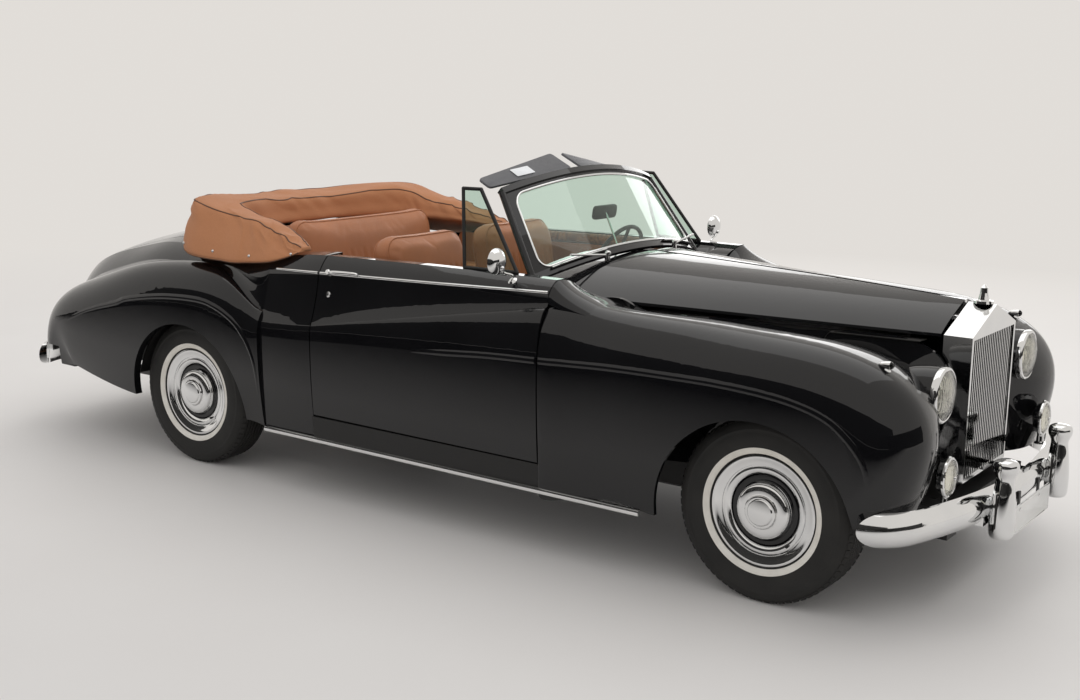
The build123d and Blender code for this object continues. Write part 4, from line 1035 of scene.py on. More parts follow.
#            x | edge y | edge z of the bonnet
BONNET_EDGE = [(0.905, 0.590, 1.037), (1.250, 0.505, 1.030), (1.800, 0.370, 1.016), (2.245, 0.266, 1.007)]
#          y | z of the door's top edge, carried on over the wing
FAIRING = [(0.640, 1.085), (0.672, 1.104), (0.705, 1.117), (0.740, 1.126), (0.775, 1.131), (0.800, 1.130),
           (0.822, 1.121), (0.840, 1.107), (0.853, 1.092), (0.861, 1.076), (0.866, 1.056)]
CHEEK_X, CHEEK_LENGTH, CHEEK_IN_Y, CHEEK_OUT = 0.650, 0.243, 0.630, (0.736, 1.118)
LANDING_X, LANDING_LENGTH, LANDING_WIDE, LANDING_UNDER = 0.906, 1.334, 0.048, 0.030
FAIRING_X, FAIRING_LENGTH = 0.9045, 0.300
BULKHEAD, BULKHEAD_PLACE = (1.38, 0.44, 0.02), (0.688, 0, 0.840)
DOOR_MIRROR, DOOR_MIRROR_FOOT = (0.672, 0.905, 1.196), (0.700, 1.112)


def between(rows, x):
    """The row at x, straight between the rows on either side of it."""
    for low, high in zip(rows, rows[1:]):
        if x <= high[0] or high is rows[-1]:
            share = (x - low[0]) / (high[0] - low[0])
            return [a + (b - a) * share for a, b in zip(low, high)]


def sheet_of(name, rows, thickness):
    """A plate from rows of points, with its underside below it."""
    wide = len(rows[0])
    points = [p for row in rows for p in row] + [p - Vector((0, 0, thickness)) for row in rows for p in row]
    below = len(rows) * wide
    faces = []
    for r in range(len(rows) - 1):
        for c in range(wide - 1):
            k = r * wide + c
            quad = (k, k + 1, k + wide + 1, k + wide)
            faces += [quad, tuple(below + v for v in reversed(quad))]
    rim = [c for c in range(wide)] + [r * wide + wide - 1 for r in range(1, len(rows))]
    rim += [(len(rows) - 1) * wide + c for c in range(wide - 2, -1, -1)]
    rim += [r * wide for r in range(len(rows) - 2, 0, -1)]
    faces += [(a, b, below + b, below + a) for a, b in zip(rim, rim[1:] + rim[:1])]
    return mesh_of(name, points, faces)


class CAR_OT_closings(bpy.types.Operator):
    """Closes the scuttle's sides, the bonnet's landing and the bulkhead, and makes the door mirrors"""

    bl_idname = "car.closings"
    bl_label = "Closings and mirrors"

    def execute(self, context):
        scuttle = panel_tree("scuttle")
        for hand, side in SIDES.items():
            rows = []
            for step in range(13):
                x = CHEEK_X + CHEEK_LENGTH * step / 12
                inner = scuttle.ray_cast(Vector((x, side * CHEEK_IN_Y, 1.4)), Vector((0, 0, -1)))[0]
                start = inner if inner else Vector((x, side * CHEEK_IN_Y, 1.090))
                start = start - Vector((0, 0, 0.004))
                end = Vector((x, side * CHEEK_OUT[0], CHEEK_OUT[1]))
                rows.append([start.lerp(end, c / 6) + Vector((0, 0, 0.006 * math.sin(math.pi * c / 6)))
                             for c in range(7)])
            settle(sheet_of(f"scuttle_cheek_{hand}", rows, 0.045), "car_body", "body_paint", "body_paint")
            wing = panel_tree(f"front_wing_{hand}")
            rows = []
            for step in range(41):
                x = LANDING_X + LANDING_LENGTH * step / 40
                _, y, z = between(BONNET_EDGE, x)
                foot = wing.ray_cast(Vector((x, side * (y + LANDING_WIDE), z + 0.2)), Vector((0, 0, -1)))[0]
                start = foot if foot and foot.z > z - 0.08 else Vector((x, side * (y + LANDING_WIDE), z - 0.028))
                end = Vector((x, side * (y - LANDING_UNDER), z - LANDING_UNDER))
                rows.append([start.lerp(end, c / 3) for c in range(4)])
            settle(sheet_of(f"bonnet_landing_{hand}", rows, 0.004), "car_body", "tyre_rubber", "tyre_rubber")
            rows = []
            for step in range(31):
                share = step / 30
                x = FAIRING_X + FAIRING_LENGTH * share
                low = share * share * (3 - 2 * share)
                row = []
                for y, z in FAIRING:
                    y = y - 0.085 * share * (0.87 - y) / 0.25
                    under = wing.ray_cast(Vector((x, side * y, 1.4)), Vector((0, 0, -1)))[0]
                    under = under if under else Vector((x, side * y, 1.010))
                    rise = max(0.0, z - under.z) * (1 - share) ** 3.0
                    row.append(Vector((x, side * y, under.z + rise - 0.0035 * low)))
                rows.append(row)
            settle(sheet_of(f"scuttle_fairing_{hand}", rows, 0.014), "car_body", "body_paint", "body_paint")
            self.mirror(hand, side)
        panel = slab("bulkhead_panel", rounded_outline(*BULKHEAD), BULKHEAD_PLACE, (0, 1, 0), (0, 0, 1), 0.010)
        settle(panel, "car_body", "frame_black", "frame_black")
        return {"FINISHED"}

    def mirror(self, hand, side):
        head = Vector((DOOR_MIRROR[0], side * DOOR_MIRROR[1], DOOR_MIRROR[2]))
        bowl = [(-0.004, 0.0), (-0.004, 0.0495), (-0.007, 0.0510), (-0.006, 0.0545), (0.000, 0.0550), (0.008, 0.0520),
                (0.018, 0.0420), (0.026, 0.0260), (0.029, 0.0120), (0.030, 0.0)]
        body = f"door_{hand}"
        settle(lathe(f"mirror_bowl_{hand}", bowl, head, (1, 0, 0), 64), body, "chrome", "chrome",
               f"door_mirror_{hand}")
        glass = [(-0.0055, 0.0), (-0.0055, 0.0490), (-0.003, 0.0495), (-0.003, 0.0)]
        settle(lathe(f"mirror_glass_{hand}", glass, head, (1, 0, 0), 64), body)
        foot, out = on_side(panel_tree(body), *DOOR_MIRROR_FOOT, side)
        arm = flow([foot - out * 0.004, foot + out * 0.012 + Vector((0, 0, 0.014)),
                    head + Vector((0.022, -side * 0.020, -0.046)), head + Vector((0.024, 0, -0.020))], 24)
        settle(sweep(f"mirror_arm_{hand}", arm, circle(0.0062, 14), [Vector((1, 0, 0))] * 24), body)
        base = [(-0.006, 0), (-0.006, 0.021), (0.002, 0.020), (0.008, 0.012), (0.012, 0.006), (0.012, 0)]
        settle(lathe(f"mirror_base_{hand}", base, foot, out, 28), body)
        knuckle = [(-0.011, 0), (-0.010, 0.006), (-0.006, 0.0095), (0, 0.011), (0.006, 0.0095), (0.010, 0.006),
                   (0.011, 0)]
        settle(lathe(f"mirror_knuckle_{hand}", knuckle, head + Vector((0.024, -side * 0.004, -0.026)), (1, 0, 0), 24),
               body)


# ---------------------------------------------------------------- seats and trim
PUFF_PRESSURE, PUFF_FRAMES, PUFF_LIMIT = 4.0, 20, 0.022
#                size (padded depth last) | edge radius | crown
FRONT_CUSHION = ((0.505, 0.565, 0.190), 0.065, 0.016)
FRONT_BACK = ((0.545, 0.585, 0.128), 0.062, 0.020)
REAR_CUSHION = ((0.420, 1.060, 0.145), 0.050, 0.010)
REAR_BACK = ((0.480, 1.070, 0.118), 0.057, 0.018)
FRONT_SEAT_Y = 0.365
FRONT_CUSHION_PLACE, REAR_CUSHION_PLACE = (0.140, 0.668), (-0.640, 0, 0.676)     # the front one's x and z
#            foot x | foot z | lean | height
FRONT_UPRIGHT, REAR_UPRIGHT = (-0.120, 0.682, 11, 0.538), (-0.853, 0.756, 10, 0.462)


def rounder(spot, half, radius, corner):
    """Draws in the corners seen from above, from the edge radius to the larger corner radius."""
    over = [abs(spot[k]) - half[k] + corner for k in (0, 1)]
    if min(over) > 0:
        u, v = (c / math.hypot(*over) for c in over)
        core = corner - radius
        reach = corner / max(u, v)
        if min(u, v) / max(u, v) > core / corner:
            reach = core * (u + v) + math.sqrt(max(0.0, (core * (u + v)) ** 2 - 2 * core ** 2 + radius ** 2))
        for k in (0, 1):
            spot[k] = math.copysign(half[k] - corner + over[k] * corner / reach, spot[k])
    return spot


def padded_form(name, size, radius, crown, voxel=0.011, corner=0.100):
    """A padded block about the origin with its padded face towards +Z: rounded, crowned and puffed."""
    half = [s / 2 for s in size]
    points, faces = [], []
    for axis in range(3):
        a, b = [k for k in range(3) if k != axis]
        na, nb = (max(6, round(size[k] / voxel)) for k in (a, b))
        for way in (-1, 1):
            base = len(points)
            for i in range(na + 1):
                for j in range(nb + 1):
                    spot = [0, 0, 0]
                    spot[axis] = way * half[axis]
                    spot[a] = -half[a] + size[a] * i / na
                    spot[b] = -half[b] + size[b] * j / nb
                    core = Vector([max(-h + radius, min(h - radius, c)) for h, c in zip(half, spot)])
                    out = Vector(spot) - core
                    spot = rounder(core + out.normalized() * radius, half, radius, corner)
                    rise = crown * max(0, 1 - (spot.x / half[0]) ** 2) * max(0, 1 - (spot.y / half[1]) ** 2)
                    spot.z += rise * (1 if spot.z > 0 else -0.3)
                    points.append(spot)
            for i in range(na):
                for j in range(nb):
                    k = base + i * (nb + 1) + j
                    faces.append((k, k + 1, k + nb + 2, k + nb + 1))
    mesh = mesh_of(name, points, faces)
    return puffed(mesh)


def puffed(mesh):
    """Blows the form up as sewn leather over its stuffing, and stops each point within the limit."""
    scene = bpy.context.scene
    pad = bpy.data.objects.new(mesh.name + "_puff", mesh)
    bpy.context.collection.objects.link(pad)
    cloth = pad.modifiers.new("cloth", "CLOTH")
    cloth.settings.use_pressure = True
    cloth.settings.uniform_pressure_force = PUFF_PRESSURE
    cloth.settings.effector_weights.gravity = 0
    cloth.settings.quality = 4
    cloth.point_cache.frame_end = PUFF_FRAMES
    for step in range(1, PUFF_FRAMES + 1):
        scene.frame_set(step)
    blown = bpy.data.meshes.new_from_object(pad.evaluated_get(bpy.context.evaluated_depsgraph_get()))
    for was, now in zip(mesh.vertices, blown.vertices):
        shift = now.co - was.co
        if shift.length > PUFF_LIMIT:
            now.co = was.co + shift.normalized() * PUFF_LIMIT
    bpy.data.objects.remove(pad)
    scene.frame_set(1)
    blown.name = mesh.name
    return blown


def fluted(mesh, size, inset, end_inset, depth=0.0075):
    """Presses the sewn lines of upright flutes into the padded face."""
    pitch = sizes().flute_width
    half_x, half_y = size[0] / 2 - end_inset, size[1] / 2 - inset
    reach = math.floor(half_y / pitch) * pitch
    for vertex in mesh.vertices:
        x, y, z = vertex.co
        if z < 0:
            continue
        inside = min(1, max(0, (half_x - abs(x)) / 0.02)) * min(1, max(0, (reach + 0.004 - abs(y)) / 0.006))
        line = abs(math.sin(math.pi * y / pitch))
        vertex.co.z -= depth * inside * (1 - line) ** 2.2 - 0.002 * inside * line
    return mesh


def refined(mesh):
    """One level of subdivision, made real."""
    carrier = bpy.data.objects.new(mesh.name, mesh)
    bpy.context.collection.objects.link(carrier)
    smooth = carrier.modifiers.new("smooth", "SUBSURF")
    smooth.levels = smooth.render_levels = 1
    result = bpy.data.meshes.new_from_object(carrier.evaluated_get(bpy.context.evaluated_depsgraph_get()))
    bpy.data.objects.remove(carrier)
    return result


def seat_piece(name, mesh, place, *stands_for, finish="tan_leather", fill=0.75):
    copy = mesh.copy()
    copy.name = name
    copy.transform(place)
    piece = settle(copy, "car_body", finish, "tan_leather", *stands_for, crease=180)
    return piece


def piping(name, size, place, level, mesh, inset=0.012, radius=0.0036):
    """Leather piping round the edge of a padded face, laid on the form it belongs to."""
    form = BVHTree.FromPolygons([v.co for v in mesh.vertices], [tuple(p.vertices) for p in mesh.polygons])
    outline = rounded_outline(size[0] - 2 * inset, size[1] - 2 * inset, 0.085, 8)
    line = []
    for index, (a, b) in enumerate(outline):
        na, nb = outline[(index + 1) % len(outline)]
        steps = max(1, round(math.dist((a, b), (na, nb)) / 0.015))
        for k in range(steps):
            near, normal, _, _ = form.find_nearest(Vector((a + (na - a) * k / steps, b + (nb - b) * k / steps, level)))
            line.append(place @ (near + normal * radius * 0.4))
    turn = place.to_3x3() @ Vector((0, 0, 1))
    settle(sweep(name, line, circle(radius, 8), [turn] * len(line), True), "car_body", "tan_leather", "tan_leather")


def upright(x, y, z, lean, height):
    """The place of a seat back: local x runs up it and local z is its padded face, towards the front."""
    a = math.radians(lean)
    up, ahead = Vector((-math.sin(a), 0, math.cos(a))), Vector((math.cos(a), 0, math.sin(a)))
    turn = Matrix((up, ahead.cross(up), ahead)).transposed().to_4x4()
    return Matrix.Translation(Vector((x, y, z)) + up * height / 2) @ turn


class CAR_OT_seats(bpy.types.Operator):
    """Makes the fluted leather seats with their piping"""

    bl_idname = "car.seats"
    bl_label = "Cabin seats"

    def execute(self, context):
        size, radius, crown = FRONT_CUSHION
        cushion = refined(fluted(padded_form("front_cushion_form", size, radius, crown), size, 0.060, 0.055))
        back_size, back_radius, back_crown = FRONT_BACK
        form = padded_form("front_back_form", back_size, back_radius, back_crown)
        back = refined(fluted(form, back_size, 0.075, 0.175))
        for hand, side in SIDES.items():
            y = side * FRONT_SEAT_Y
            x, z = FRONT_CUSHION_PLACE
            place = Matrix.Translation((x, y, z))
            stands_for = ("front_seats",) if side > 0 else ()
            seat_piece(f"front_cushion_{hand}", cushion, place, *stands_for)
            piping(f"front_cushion_piping_{hand}", size, place, size[2] / 2 - 0.010, cushion)
            place = upright(FRONT_UPRIGHT[0], y, *FRONT_UPRIGHT[1:])
            seat_piece(f"front_back_{hand}", back, place)
            piping(f"front_back_piping_{hand}", back_size, place, back_size[2] / 2 - 0.012, back)
            piping(f"front_back_rear_piping_{hand}", back_size, place, 0.012 - back_size[2] / 2, back)
            base = slab(f"front_seat_base_{hand}", rounded_outline(0.46, 0.42, 0.03), (x, y, 0.391), (1, 0, 0),
                        (0, 1, 0), 0.190, 0.004)
            settle(base, "car_body", "carpet", "tan_leather")
        size, radius, crown = REAR_CUSHION
        mesh = refined(fluted(padded_form("rear_cushion_form", size, radius, crown, 0.013), size, 0.110, 0.055))
        place = Matrix.Translation(REAR_CUSHION_PLACE)
        seat_piece("rear_cushion", mesh, place, "rear_seat")
        piping("rear_cushion_piping", size, place, size[2] / 2 - 0.008, mesh)
        size, radius, crown = REAR_BACK
        mesh = refined(fluted(padded_form("rear_back_form", size, radius, crown, 0.013), size, 0.110, 0.185))
        place = upright(REAR_UPRIGHT[0], 0, *REAR_UPRIGHT[1:])
        seat_piece("rear_back", mesh, place)
        piping("rear_back_piping", size, place, size[2] / 2 - 0.010, mesh)
        return {"FINISHED"}


#            x | rail y, z | side height | inner y
DOOR_INNER = [(-0.352, 0.738, 1.058, 0.740, 0.843), (0.300, 0.740, 1.070, 0.780, 0.851),
              (0.640, 0.738, 1.072, 0.790, 0.853)]
#        piece | length, width and corner | place of its underside's middle | thickness, edge | finish
FLAT_LININGS = (("cabin_carpet", (1.50, 1.46, 0.05), (0.330, 0, 0.3905), (0.009, 0.003), "carpet"),
                ("boot_carpet", (1.560, 1.11, 0.03), (-1.800, 0, 0.5705), (0.008, 0.003), "carpet"),
                ("hood_well_lining", (0.330, 1.240, 0.130), (-1.090, 0, 1.131), (0.008, 0.003), "tan_fabric"))
WINDER = (0.520, 0.836, 0.700)
#        y | radius of each dial
DIALS = ((0.300, 0.052), (0.430, 0.052), (0.020, 0.034), (-0.060, 0.034), (0.100, 0.034))
DIAL_X, DIAL_Z, DIAL_FACING = 0.490, 1.010, (-0.942, 0, 0.336)
STEERING_HUB, COLUMN_LEAN = (0.420, 0.380, 1.030), 22


class CAR_OT_cabin_trim(bpy.types.Operator):
    """Lines the doors and sides with leather and wood, and lays the carpets, the dash and its dials"""

    bl_idname = "car.cabin_trim"
    bl_label = "Cabin trim"

    def execute(self, context):
        for hand, side in SIDES.items():
            self.door_card(hand, side)
        for name, outline, place, depth, finish in FLAT_LININGS:
            lining = slab(name, rounded_outline(*outline), place, (1, 0, 0), (0, 1, 0), *depth)
            settle(lining, "car_body", finish, "tan_fabric")
        for hand, side in SIDES.items():
            settle(slab(f"boot_side_{hand}", rounded_outline(1.28, 0.225, 0.03), (-1.665, side * 0.558, 0.688),
                        (side, 0, 0), (0, 0, 1), 0.006, 0.002), "car_body", "carpet", "tan_fabric")
        self.side_trim()
        self.dash()
        self.column()
        return {"FINISHED"}

    def door_card(self, hand, side):
        body = f"door_{hand}"
        sections = []
        for share in range(25):
            place = share / 24 * (len(DOOR_INNER) - 1)
            k = min(int(place), len(DOOR_INNER) - 2)
            row = [a + (b - a) * (place - k) for a, b in zip(DOOR_INNER[k], DOOR_INNER[k + 1])]
            x, ry, rz, sz, iy = row
            face = [(iy, 0.415), (iy, 0.560), (iy - 0.001, sz - 0.03), (iy - 0.012, sz + 0.03),
                    ((iy + ry) / 2, (sz + rz) / 2), (ry + 0.006, rz - 0.03), (ry, rz)]
            puff = [0.004, 0.009, 0.012, 0.012, 0.010, 0.008, 0.004]
            near = [Vector((x, side * (y - t), z)) for (y, z), t in zip(face, puff)]
            far = [Vector((x, side * y, z)) for y, z in reversed(face)]
            sections.append(near + far)
        faces = tube_faces(len(sections), len(sections[0]))
        points = [p for section in sections for p in section]
        settle(mesh_of(f"door_card_{hand}", points, faces), body, "tan_leather", "tan_leather", crease=50)
        rail = flow([(x, side * (ry - 0.002), rz + 0.030) for x, ry, rz, _, _ in DOOR_INNER], 50)
        cap = [(-0.026, 0.0), (-0.024, 0.006), (-0.012, 0.011), (0.010, 0.011), (0.022, 0.006), (0.026, 0.0)]
        settle(sweep(f"door_capping_{hand}", rail, cap, [Vector((0, -side, 0))] * 50), body, "walnut", "tan_leather")
        spot = Vector((WINDER[0], side * WINDER[1], WINDER[2]))
        crank = [(0, 0), (0, 0.020), (0.012, 0.018), (0.020, 0.010), (0.026, 0.0)]
        settle(lathe(f"window_winder_{hand}", crank, spot, (0, -side, 0), 24), body)
        arm = flow([spot + Vector((0, -side * 0.020, 0)), spot + Vector((-0.050, -side * 0.026, 0.010)),
                    spot + Vector((-0.090, -side * 0.024, 0.014))], 16)
        settle(sweep(f"window_winder_arm_{hand}", arm, circle(0.0055, 12, 0.7), [Vector((0, -side, 0))] * 16), body)

    def side_trim(self):
        for hand, side in SIDES.items():
            outline = rounded_outline(0.420, 0.420, 0.03)
            settle(slab(f"rear_side_trim_{hand}", outline, (-0.605, side * 0.692, 0.860), (-side, 0, 0), (0, 0, 1),
                        0.022, 0.008), "car_body", "tan_leather", "tan_leather")
            arm = slab(f"rear_arm_rest_{hand}", rounded_outline(0.36, 0.11, 0.03), (-0.640, side * 0.610, 0.860),
                       (1, 0, 0), (0, 1, 0), 0.055, 0.018)
            piece = settle(arm, "car_body", "tan_leather", "tan_leather", crease=180)

    def dash(self):
        roll = [(0.636, 1.045), (0.600, 1.062), (0.560, 1.064), (0.520, 1.054), (0.499, 1.042), (0.505, 1.030),
                (0.560, 1.046), (0.636, 1.036)]
        line = [Vector((0, y / 20 * 0.695, 0)) for y in range(-20, 21)]
        points = [Vector((x, p.y, z)) for p in line for x, z in roll]
        mesh = mesh_of("dash_roll", points, tube_faces(len(line), len(roll)))
        settle(mesh, "car_body", "dash_leather", "trim_black")
        facing = Vector(DIAL_FACING).normalized()
        for index, (y, radius) in enumerate(DIALS):
            spot = Vector((DIAL_X, y, DIAL_Z))
            ring = [(-0.004, radius * 0.90), (-0.004, radius), (0.004, radius), (0.007, radius * 0.95),
                    (0.006, radius * 0.88), (0.001, radius * 0.87)]
            settle(lathe(f"dial_rim_{index}", ring, spot, facing, 48))
            face = [(-0.003, 0), (-0.003, radius * 0.9), (0.002, radius * 0.9), (0.002, 0)]
            settle(lathe(f"dial_face_{index}", face, spot, facing, 48), "car_body", "frame_black", "trim_black")
            hand_bar = slab(f"dial_hand_{index}", [(-0.0012, -0.004), (0.0012, -0.004), (0.0005, radius * 0.7),
                                                   (-0.0005, radius * 0.7)], spot + facing * 0.0025,
                            Vector((0, -1, 0)), facing.cross(Vector((0, -1, 0))), 0.0012, 0.0003)
            settle(hand_bar, "car_body", "card", "trim_black")

    def column(self):
        lean = math.radians(COLUMN_LEAN)
        toward = Vector((-math.cos(lean), 0, math.sin(lean)))
        hub = Vector(STEERING_HUB)
        boss = [(0.004, 0.0), (0.004, 0.030), (0.014, 0.028), (0.020, 0.020), (0.024, 0.0)]
        settle(lathe("horn_button", boss, hub, toward, 36), "steering_wheel", "frame_black", "trim_black")
        ring = [(0.003, 0.030), (0.010, 0.0345), (0.014, 0.032), (0.010, 0.0285)]
        settle(lathe("horn_button_ring", ring, hub, toward, 36), "steering_wheel")
        tube = [(-0.330, 0.0), (-0.330, 0.026), (-0.060, 0.026), (-0.050, 0.022), (-0.050, 0.0)]
        settle(lathe("column_tube", tube, hub, toward, 32), "car_body", "frame_black", "trim_black")


# ---------------------------------------------------------------- folded hood
#  plan x | plan y | angle from +Y to the rear | outer bottom d, z | outer top d, z | inner top d, z | inner bottom d, z
HOOD = [
    (-0.545, 0.0, 0, 0.806, 1.118, 0.790, 1.134, 0.748, 1.138, 0.738, 1.118),
    (-0.610, 0.0, 0, 0.834, 1.090, 0.792, 1.154, 0.706, 1.154, 0.684, 1.124),
    (-0.700, 0.0, 0, 0.853, 1.064, 0.786, 1.188, 0.672, 1.182, 0.645, 1.134),
    (-0.840, 0.0, 0, 0.856, 1.048, 0.778, 1.226, 0.636, 1.216, 0.615, 1.136),
    (-1.000, 0.0, 0, 0.858, 1.040, 0.774, 1.252, 0.616, 1.240, 0.596, 1.138),
    (-1.000, 0.420, 45, 0.505, 1.056, 0.448, 1.310, 0.236, 1.284, 0.211, 1.144),
    (-1.000, 0.250, 90, 0.498, 1.144, 0.440, 1.298, 0.262, 1.276, 0.244, 1.154),
    (-1.000, 0.0, 90, 0.502, 1.144, 0.444, 1.294, 0.266, 1.272, 0.248, 1.154),
]
HOOD_STATIONS, HOOD_RING = 260, 72


def hood_rows():
    """The section corners round the whole hood, from the left tip round the back to the right tip."""
    rows = []
    for side in (1, -1):
        half = []
        for x, y, angle, *pairs in HOOD:
            a = math.radians(angle)
            out = Vector((-math.sin(a), side * math.cos(a), 0))
            corners = [Vector((x, side * y, 0)) + out * pairs[k] + Vector((0, 0, pairs[k + 1])) for k in (0, 2, 4, 6)]
            half.append((corners, out))
        rows += half if side > 0 else list(reversed(half))[1:]
    return rows


def hood_surface():
    """The points of the smooth cover, station by station, before it is creased."""
    rows = hood_rows()
    lines = []
    for which in range(4):
        lines.append(flow([corners[which] for corners, _ in rows], HOOD_STATIONS))
    outs = flow([out for _, out in rows], HOOD_STATIONS)
    points = []
    for index in range(HOOD_STATIONS):
        low, top, inner, under = (line[index] for line in lines)
        out = outs[index].normalized()
        height = (top - low).length
        ring = [low, low.lerp(top, 0.33) + out * 0.10 * height, low.lerp(top, 0.70) + out * 0.07 * height, top,
                top.lerp(inner, 0.5) + Vector((0, 0, 0.05 * height)), inner, inner.lerp(under, 0.5) - out * 0.01,
                under, under.lerp(low, 0.5)]
        count = len(ring)
        for step in range(HOOD_RING):
            place = step / HOOD_RING * count
            k, t = int(place), place - int(place)
            points.append(spline(*(ring[(k + j) % count] for j in (-1, 0, 1, 2)), t))
    return points


def creased(points):
    """Slack folds in the cloth: long soft ones, and short pulls that run down from the top edge."""
    for index, spot in enumerate(points):
        step = index % HOOD_RING / HOOD_RING
        station = index // HOOD_RING / HOOD_STATIONS
        free = math.sin(math.pi * min(1, max(0, step * 9 / 7))) if step < 7 / 9 else 0.0
        ends = min(1, station / 0.06, (1 - station) / 0.06)
        middle = Vector((-0.95, 0, 1.1)) - spot
        out = -Vector((middle.x, middle.y, 0)).normalized()
        long_fold = noise.noise(Vector((station * 13.0, step * 4.0, 1.7)))
        pull = noise.noise(Vector((station * 46.0 + step * 9.0, step * 2.0, 5.1)))
        lift = noise.noise(Vector((station * 22.0, step * 7.0, 9.3)))
        crest = max(0.0, 1 - 3.2 * abs(noise.noise(Vector((station * 17.0 + step * 5.0, step * 3.0, 3.3))))) ** 2
        slack = 0.018 * long_fold + 0.010 * pull + 0.011 * crest
        spot += out * free * ends * slack + Vector((0, 0, free * ends * (0.012 * lift + 0.006 * crest)))
    return points


class CAR_OT_hood(bpy.types.Operator):
    """Makes the folded hood in its buttoned cover, with its piping and studs"""

    bl_idname = "car.hood"
    bl_label = "Folded hood"

    def execute(self, context):
        points = creased(hood_surface())
        mesh = mesh_of("hood_cover_cloth", points, tube_faces(HOOD_STATIONS, HOOD_RING))
        cover = settle(mesh, "car_body", "tan_fabric", "tan_fabric", "hood_cover", crease=180)
        ring_at = {"hem": 0.0, "outer_seam": 3 / 9, "inner_seam": 5 / 9}
        for label, share in ring_at.items():
            step = round(share * HOOD_RING)
            line = [points[index * HOOD_RING + step] for index in range(2, HOOD_STATIONS - 2)]
            ups = [Vector((0, 0, 1))] * len(line)
            seam = sweep(f"hood_{label}_piping", line, circle(0.0035, 8), ups)
            settle(seam, "car_body", "piping", "tan_fabric")
        step = round(0.6 / 9 * HOOD_RING)
        line = [points[index * HOOD_RING + step] for index in range(12, HOOD_STATIONS - 12)]
        beads("hood_studs", line, sizes().stud_spacing, (0.0075, 0.0075, 0.0075), "car_body", "chrome", "chrome")
        step = round(0.25 / 9 * HOOD_RING)
        line = [points[index * HOOD_RING + step] for index in range(8, HOOD_STATIONS - 8)]
        beads("hood_hem_stitches", line, 0.009, (0.0028, 0.0011, 0.0011), "car_body", "piping", "tan_fabric")
        return {"FINISHED"}


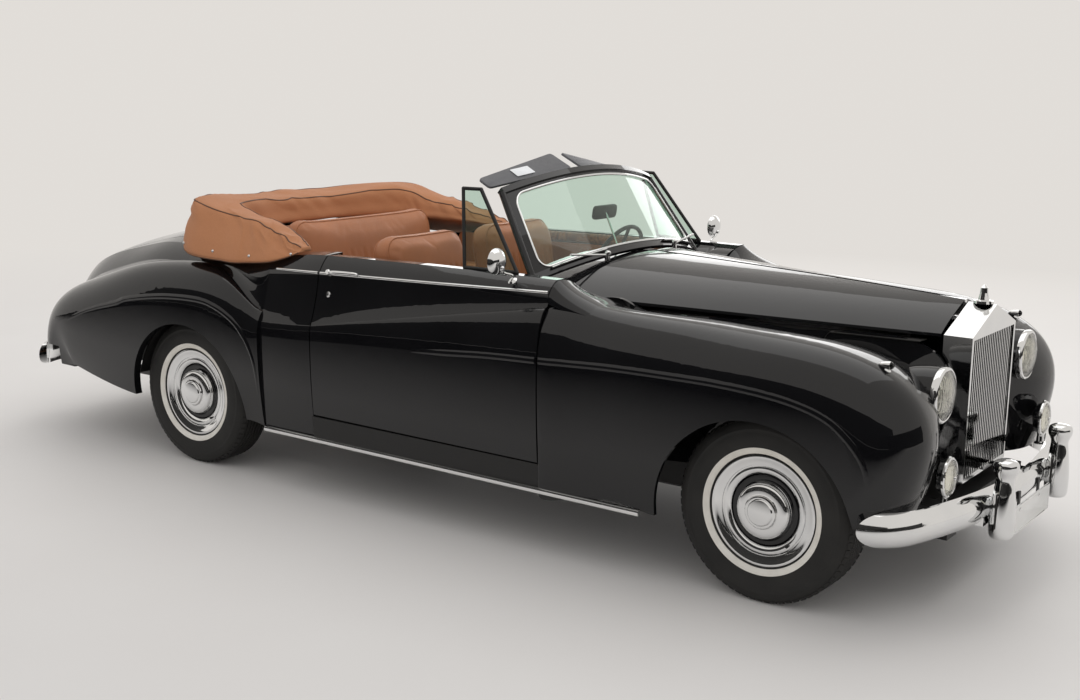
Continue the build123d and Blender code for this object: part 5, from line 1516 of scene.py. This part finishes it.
# ---------------------------------------------------------------- stage
class STAGE_OT_build(bpy.types.Operator):
    """Lays the floor, the lamps and the camera"""

    bl_idname = "car.stage"
    bl_label = "Stage"

    def execute(self, context):
        size = FLOOR_HALF
        mesh = mesh_of("floor", [(-size, -size, 0), (size, -size, 0), (size, size, 0), (-size, size, 0)],
                       [(0, 1, 2, 3)])
        floor = bpy.data.objects.new("floor", mesh)
        context.collection.objects.link(floor)
        paint = Material("pale_floor", roughness=0.55, specular_ior_level=0.3)
        scuffs = paint.noise(1.3, 5.0)
        paint.set("Base Color", paint.mix(scuffs, (0.735, 0.700, 0.660), (0.765, 0.735, 0.695)))
        reach = paint.node("ShaderNodeVectorMath", {"operation": "LENGTH"}, output=1, Vector=paint.place())
        paint.fade_into("ShaderNodeEmission", BACKDROP, ((reach - FADE_START) / FADE_LENGTH).most(0.0).least(1.0))
        mesh.materials.append(paint.data)
        self.world(context)
        for name, place, width, depth, power in LAMPS:
            light = bpy.data.lights.new(name, "AREA")
            light.shape = "RECTANGLE"
            light.size, light.size_y, light.energy = width, depth, power
            lamp = bpy.data.objects.new(name, light)
            lamp.location = place
            lamp.rotation_euler = (Vector(place) - Vector((0, 0, 0.5))).to_track_quat("Z", "Y").to_euler()
            context.collection.objects.link(lamp)
        self.flags(context)
        self.camera(context)
        context.scene.view_settings.view_transform = "Standard"
        return {"FINISHED"}

    def world(self, context):
        world = bpy.data.worlds.new("studio")
        world.use_nodes = True
        tree = world.node_tree
        shown, lit = tree.nodes["Background"], tree.nodes.new("ShaderNodeBackground")
        shown.inputs["Color"].default_value = (*BACKDROP, 1)
        lit.inputs["Color"].default_value = (0.96, 0.97, 1.0, 1)
        lit.inputs["Strength"].default_value = WORLD_LIGHT
        path = tree.nodes.new("ShaderNodeLightPath").outputs
        seen = path["Is Camera Ray"]
        for label in ("Is Glossy Ray", "Is Transmission Ray"):
            most = tree.nodes.new("ShaderNodeMath")
            most.operation = "MAXIMUM"
            tree.links.new(seen, most.inputs[0])
            tree.links.new(path[label], most.inputs[1])
            seen = most.outputs[0]
        mix = tree.nodes.new("ShaderNodeMixShader")
        tree.links.new(seen, mix.inputs[0])
        tree.links.new(lit.outputs[0], mix.inputs[1])
        tree.links.new(shown.outputs[0], mix.inputs[2])
        tree.links.new(mix.outputs[0], tree.nodes["World Output"].inputs[0])
        context.scene.world = world

    def flags(self, context):
        """Dark boards round the studio and a dark sheet on the floor, that only polished surfaces see: painted dark
        reflections, hidden from the camera, from diffuse light and from shadows.
        """
        cloth = Material("dark_cloth", base_color=(0.004, 0.004, 0.004), roughness=0.9, specular_ior_level=0.0)
        # the floor sheet's painted dark reflection fades out towards the car, between y -3.9 and -1.9
        across = cloth.node("ShaderNodeSeparateXYZ", output=1, Vector=cloth.place())
        cloth.fade_into("ShaderNodeBsdfTransparent", (1.0, 1.0, 1.0), ((across + 3.9) / 2.0).most(0.0).least(1.0))
        boards = [(name, [(*a, low), (*b, low), (*b, high), (*a, high)], finish_of("frame_black"))
                  for name, a, b, low, high in DARK_REFLECTION_BOARDS]
        # a dark sheet on the floor on the camera's side of the car: a painted dark reflection of the floor in the lower
        # paint
        boards.append(("floor_cloth", [(-14, -9.5, 0.01), (14, -9.5, 0.01), (14, -1.9, 0.01), (-14, -1.9, 0.01)],
                       cloth.data))
        for name, corners, finish in boards:
            mesh = mesh_of(name, corners, [(0, 1, 2, 3)])
            mesh.materials.append(finish)
            reflection_board = bpy.data.objects.new(name, mesh)
            # seen only by glossy rays, so each shows only as a painted dark reflection
            reflection_board.visible_camera = reflection_board.visible_diffuse = reflection_board.visible_shadow = reflection_board.visible_transmission = False
            context.collection.objects.link(reflection_board)

    def camera(self, context):
        camera = bpy.data.cameras.new("camera")
        camera.lens = CAMERA_LENS
        eye = bpy.data.objects.new("camera", camera)
        yaw, pitch, roll = (math.radians(a) for a in (CAMERA_YAW, CAMERA_PITCH, CAMERA_ROLL))
        ahead = Vector((math.cos(yaw) * math.cos(pitch), math.sin(yaw) * math.cos(pitch), math.sin(pitch)))
        level = Vector((math.sin(yaw), -math.cos(yaw), 0))
        over = level.cross(ahead)
        right = math.cos(roll) * level + math.sin(roll) * over
        up = math.cos(roll) * over - math.sin(roll) * level
        turn = Matrix((right, up, -ahead)).transposed().to_4x4()
        eye.matrix_world = Matrix.Translation(CAMERA_PLACE) @ turn
        context.collection.objects.link(eye)
        context.scene.camera = eye


class CAR_OT_finishes(bpy.types.Operator):
    """Gives every carried-over solid its finish"""

    bl_idname = "car.finishes"
    bl_label = "Finishes"

    def execute(self, context):
        slots = {part["node"]: part["material_slot"] for part in frame["record"]["subparts"]}
        slots.update(OWN_FINISH)
        for name, obj in frame["nodes"].items():
            obj.data.materials.clear()
            obj.data.materials.append(finish_of(slots[name]))
        return {"FINISHED"}


OPERATORS = (STAGE_OT_build, CAR_OT_finishes, CAR_OT_tyres, CAR_OT_wheels, CAR_OT_coach_lines, CAR_OT_brightwork,
             CAR_OT_lamps, CAR_OT_plates, CAR_OT_windscreen, CAR_OT_closings,
             CAR_OT_seats, CAR_OT_cabin_trim, CAR_OT_hood)


class CAR_PT_dressing(bpy.types.Panel):
    """Sizes, colours and the pieces of the car"""

    bl_label = "Car"
    bl_idname = "CAR_PT_dressing"
    bl_space_type = "VIEW_3D"
    bl_region_type = "UI"
    bl_category = "Car"

    def draw(self, context):
        for key in CAR_PG_sizes.__annotations__:
            self.layout.prop(context.scene.car_sizes, key)
        for operator in OPERATORS:
            self.layout.operator(operator.bl_idname)


CLASSES = (CAR_PG_sizes, *OPERATORS, CAR_PT_dressing)


def register():
    for cls in CLASSES:
        bpy.utils.register_class(cls)
    bpy.types.Scene.car_sizes = bpy.props.PointerProperty(type=CAR_PG_sizes)


def unregister():
    del bpy.types.Scene.car_sizes
    for cls in reversed(CLASSES):
        bpy.utils.unregister_class(cls)


def main():
    register()
    for operator in OPERATORS:
        group, name = operator.bl_idname.split(".")
        getattr(getattr(bpy.ops, group), name)()


if __name__ == "__main__":
    main()
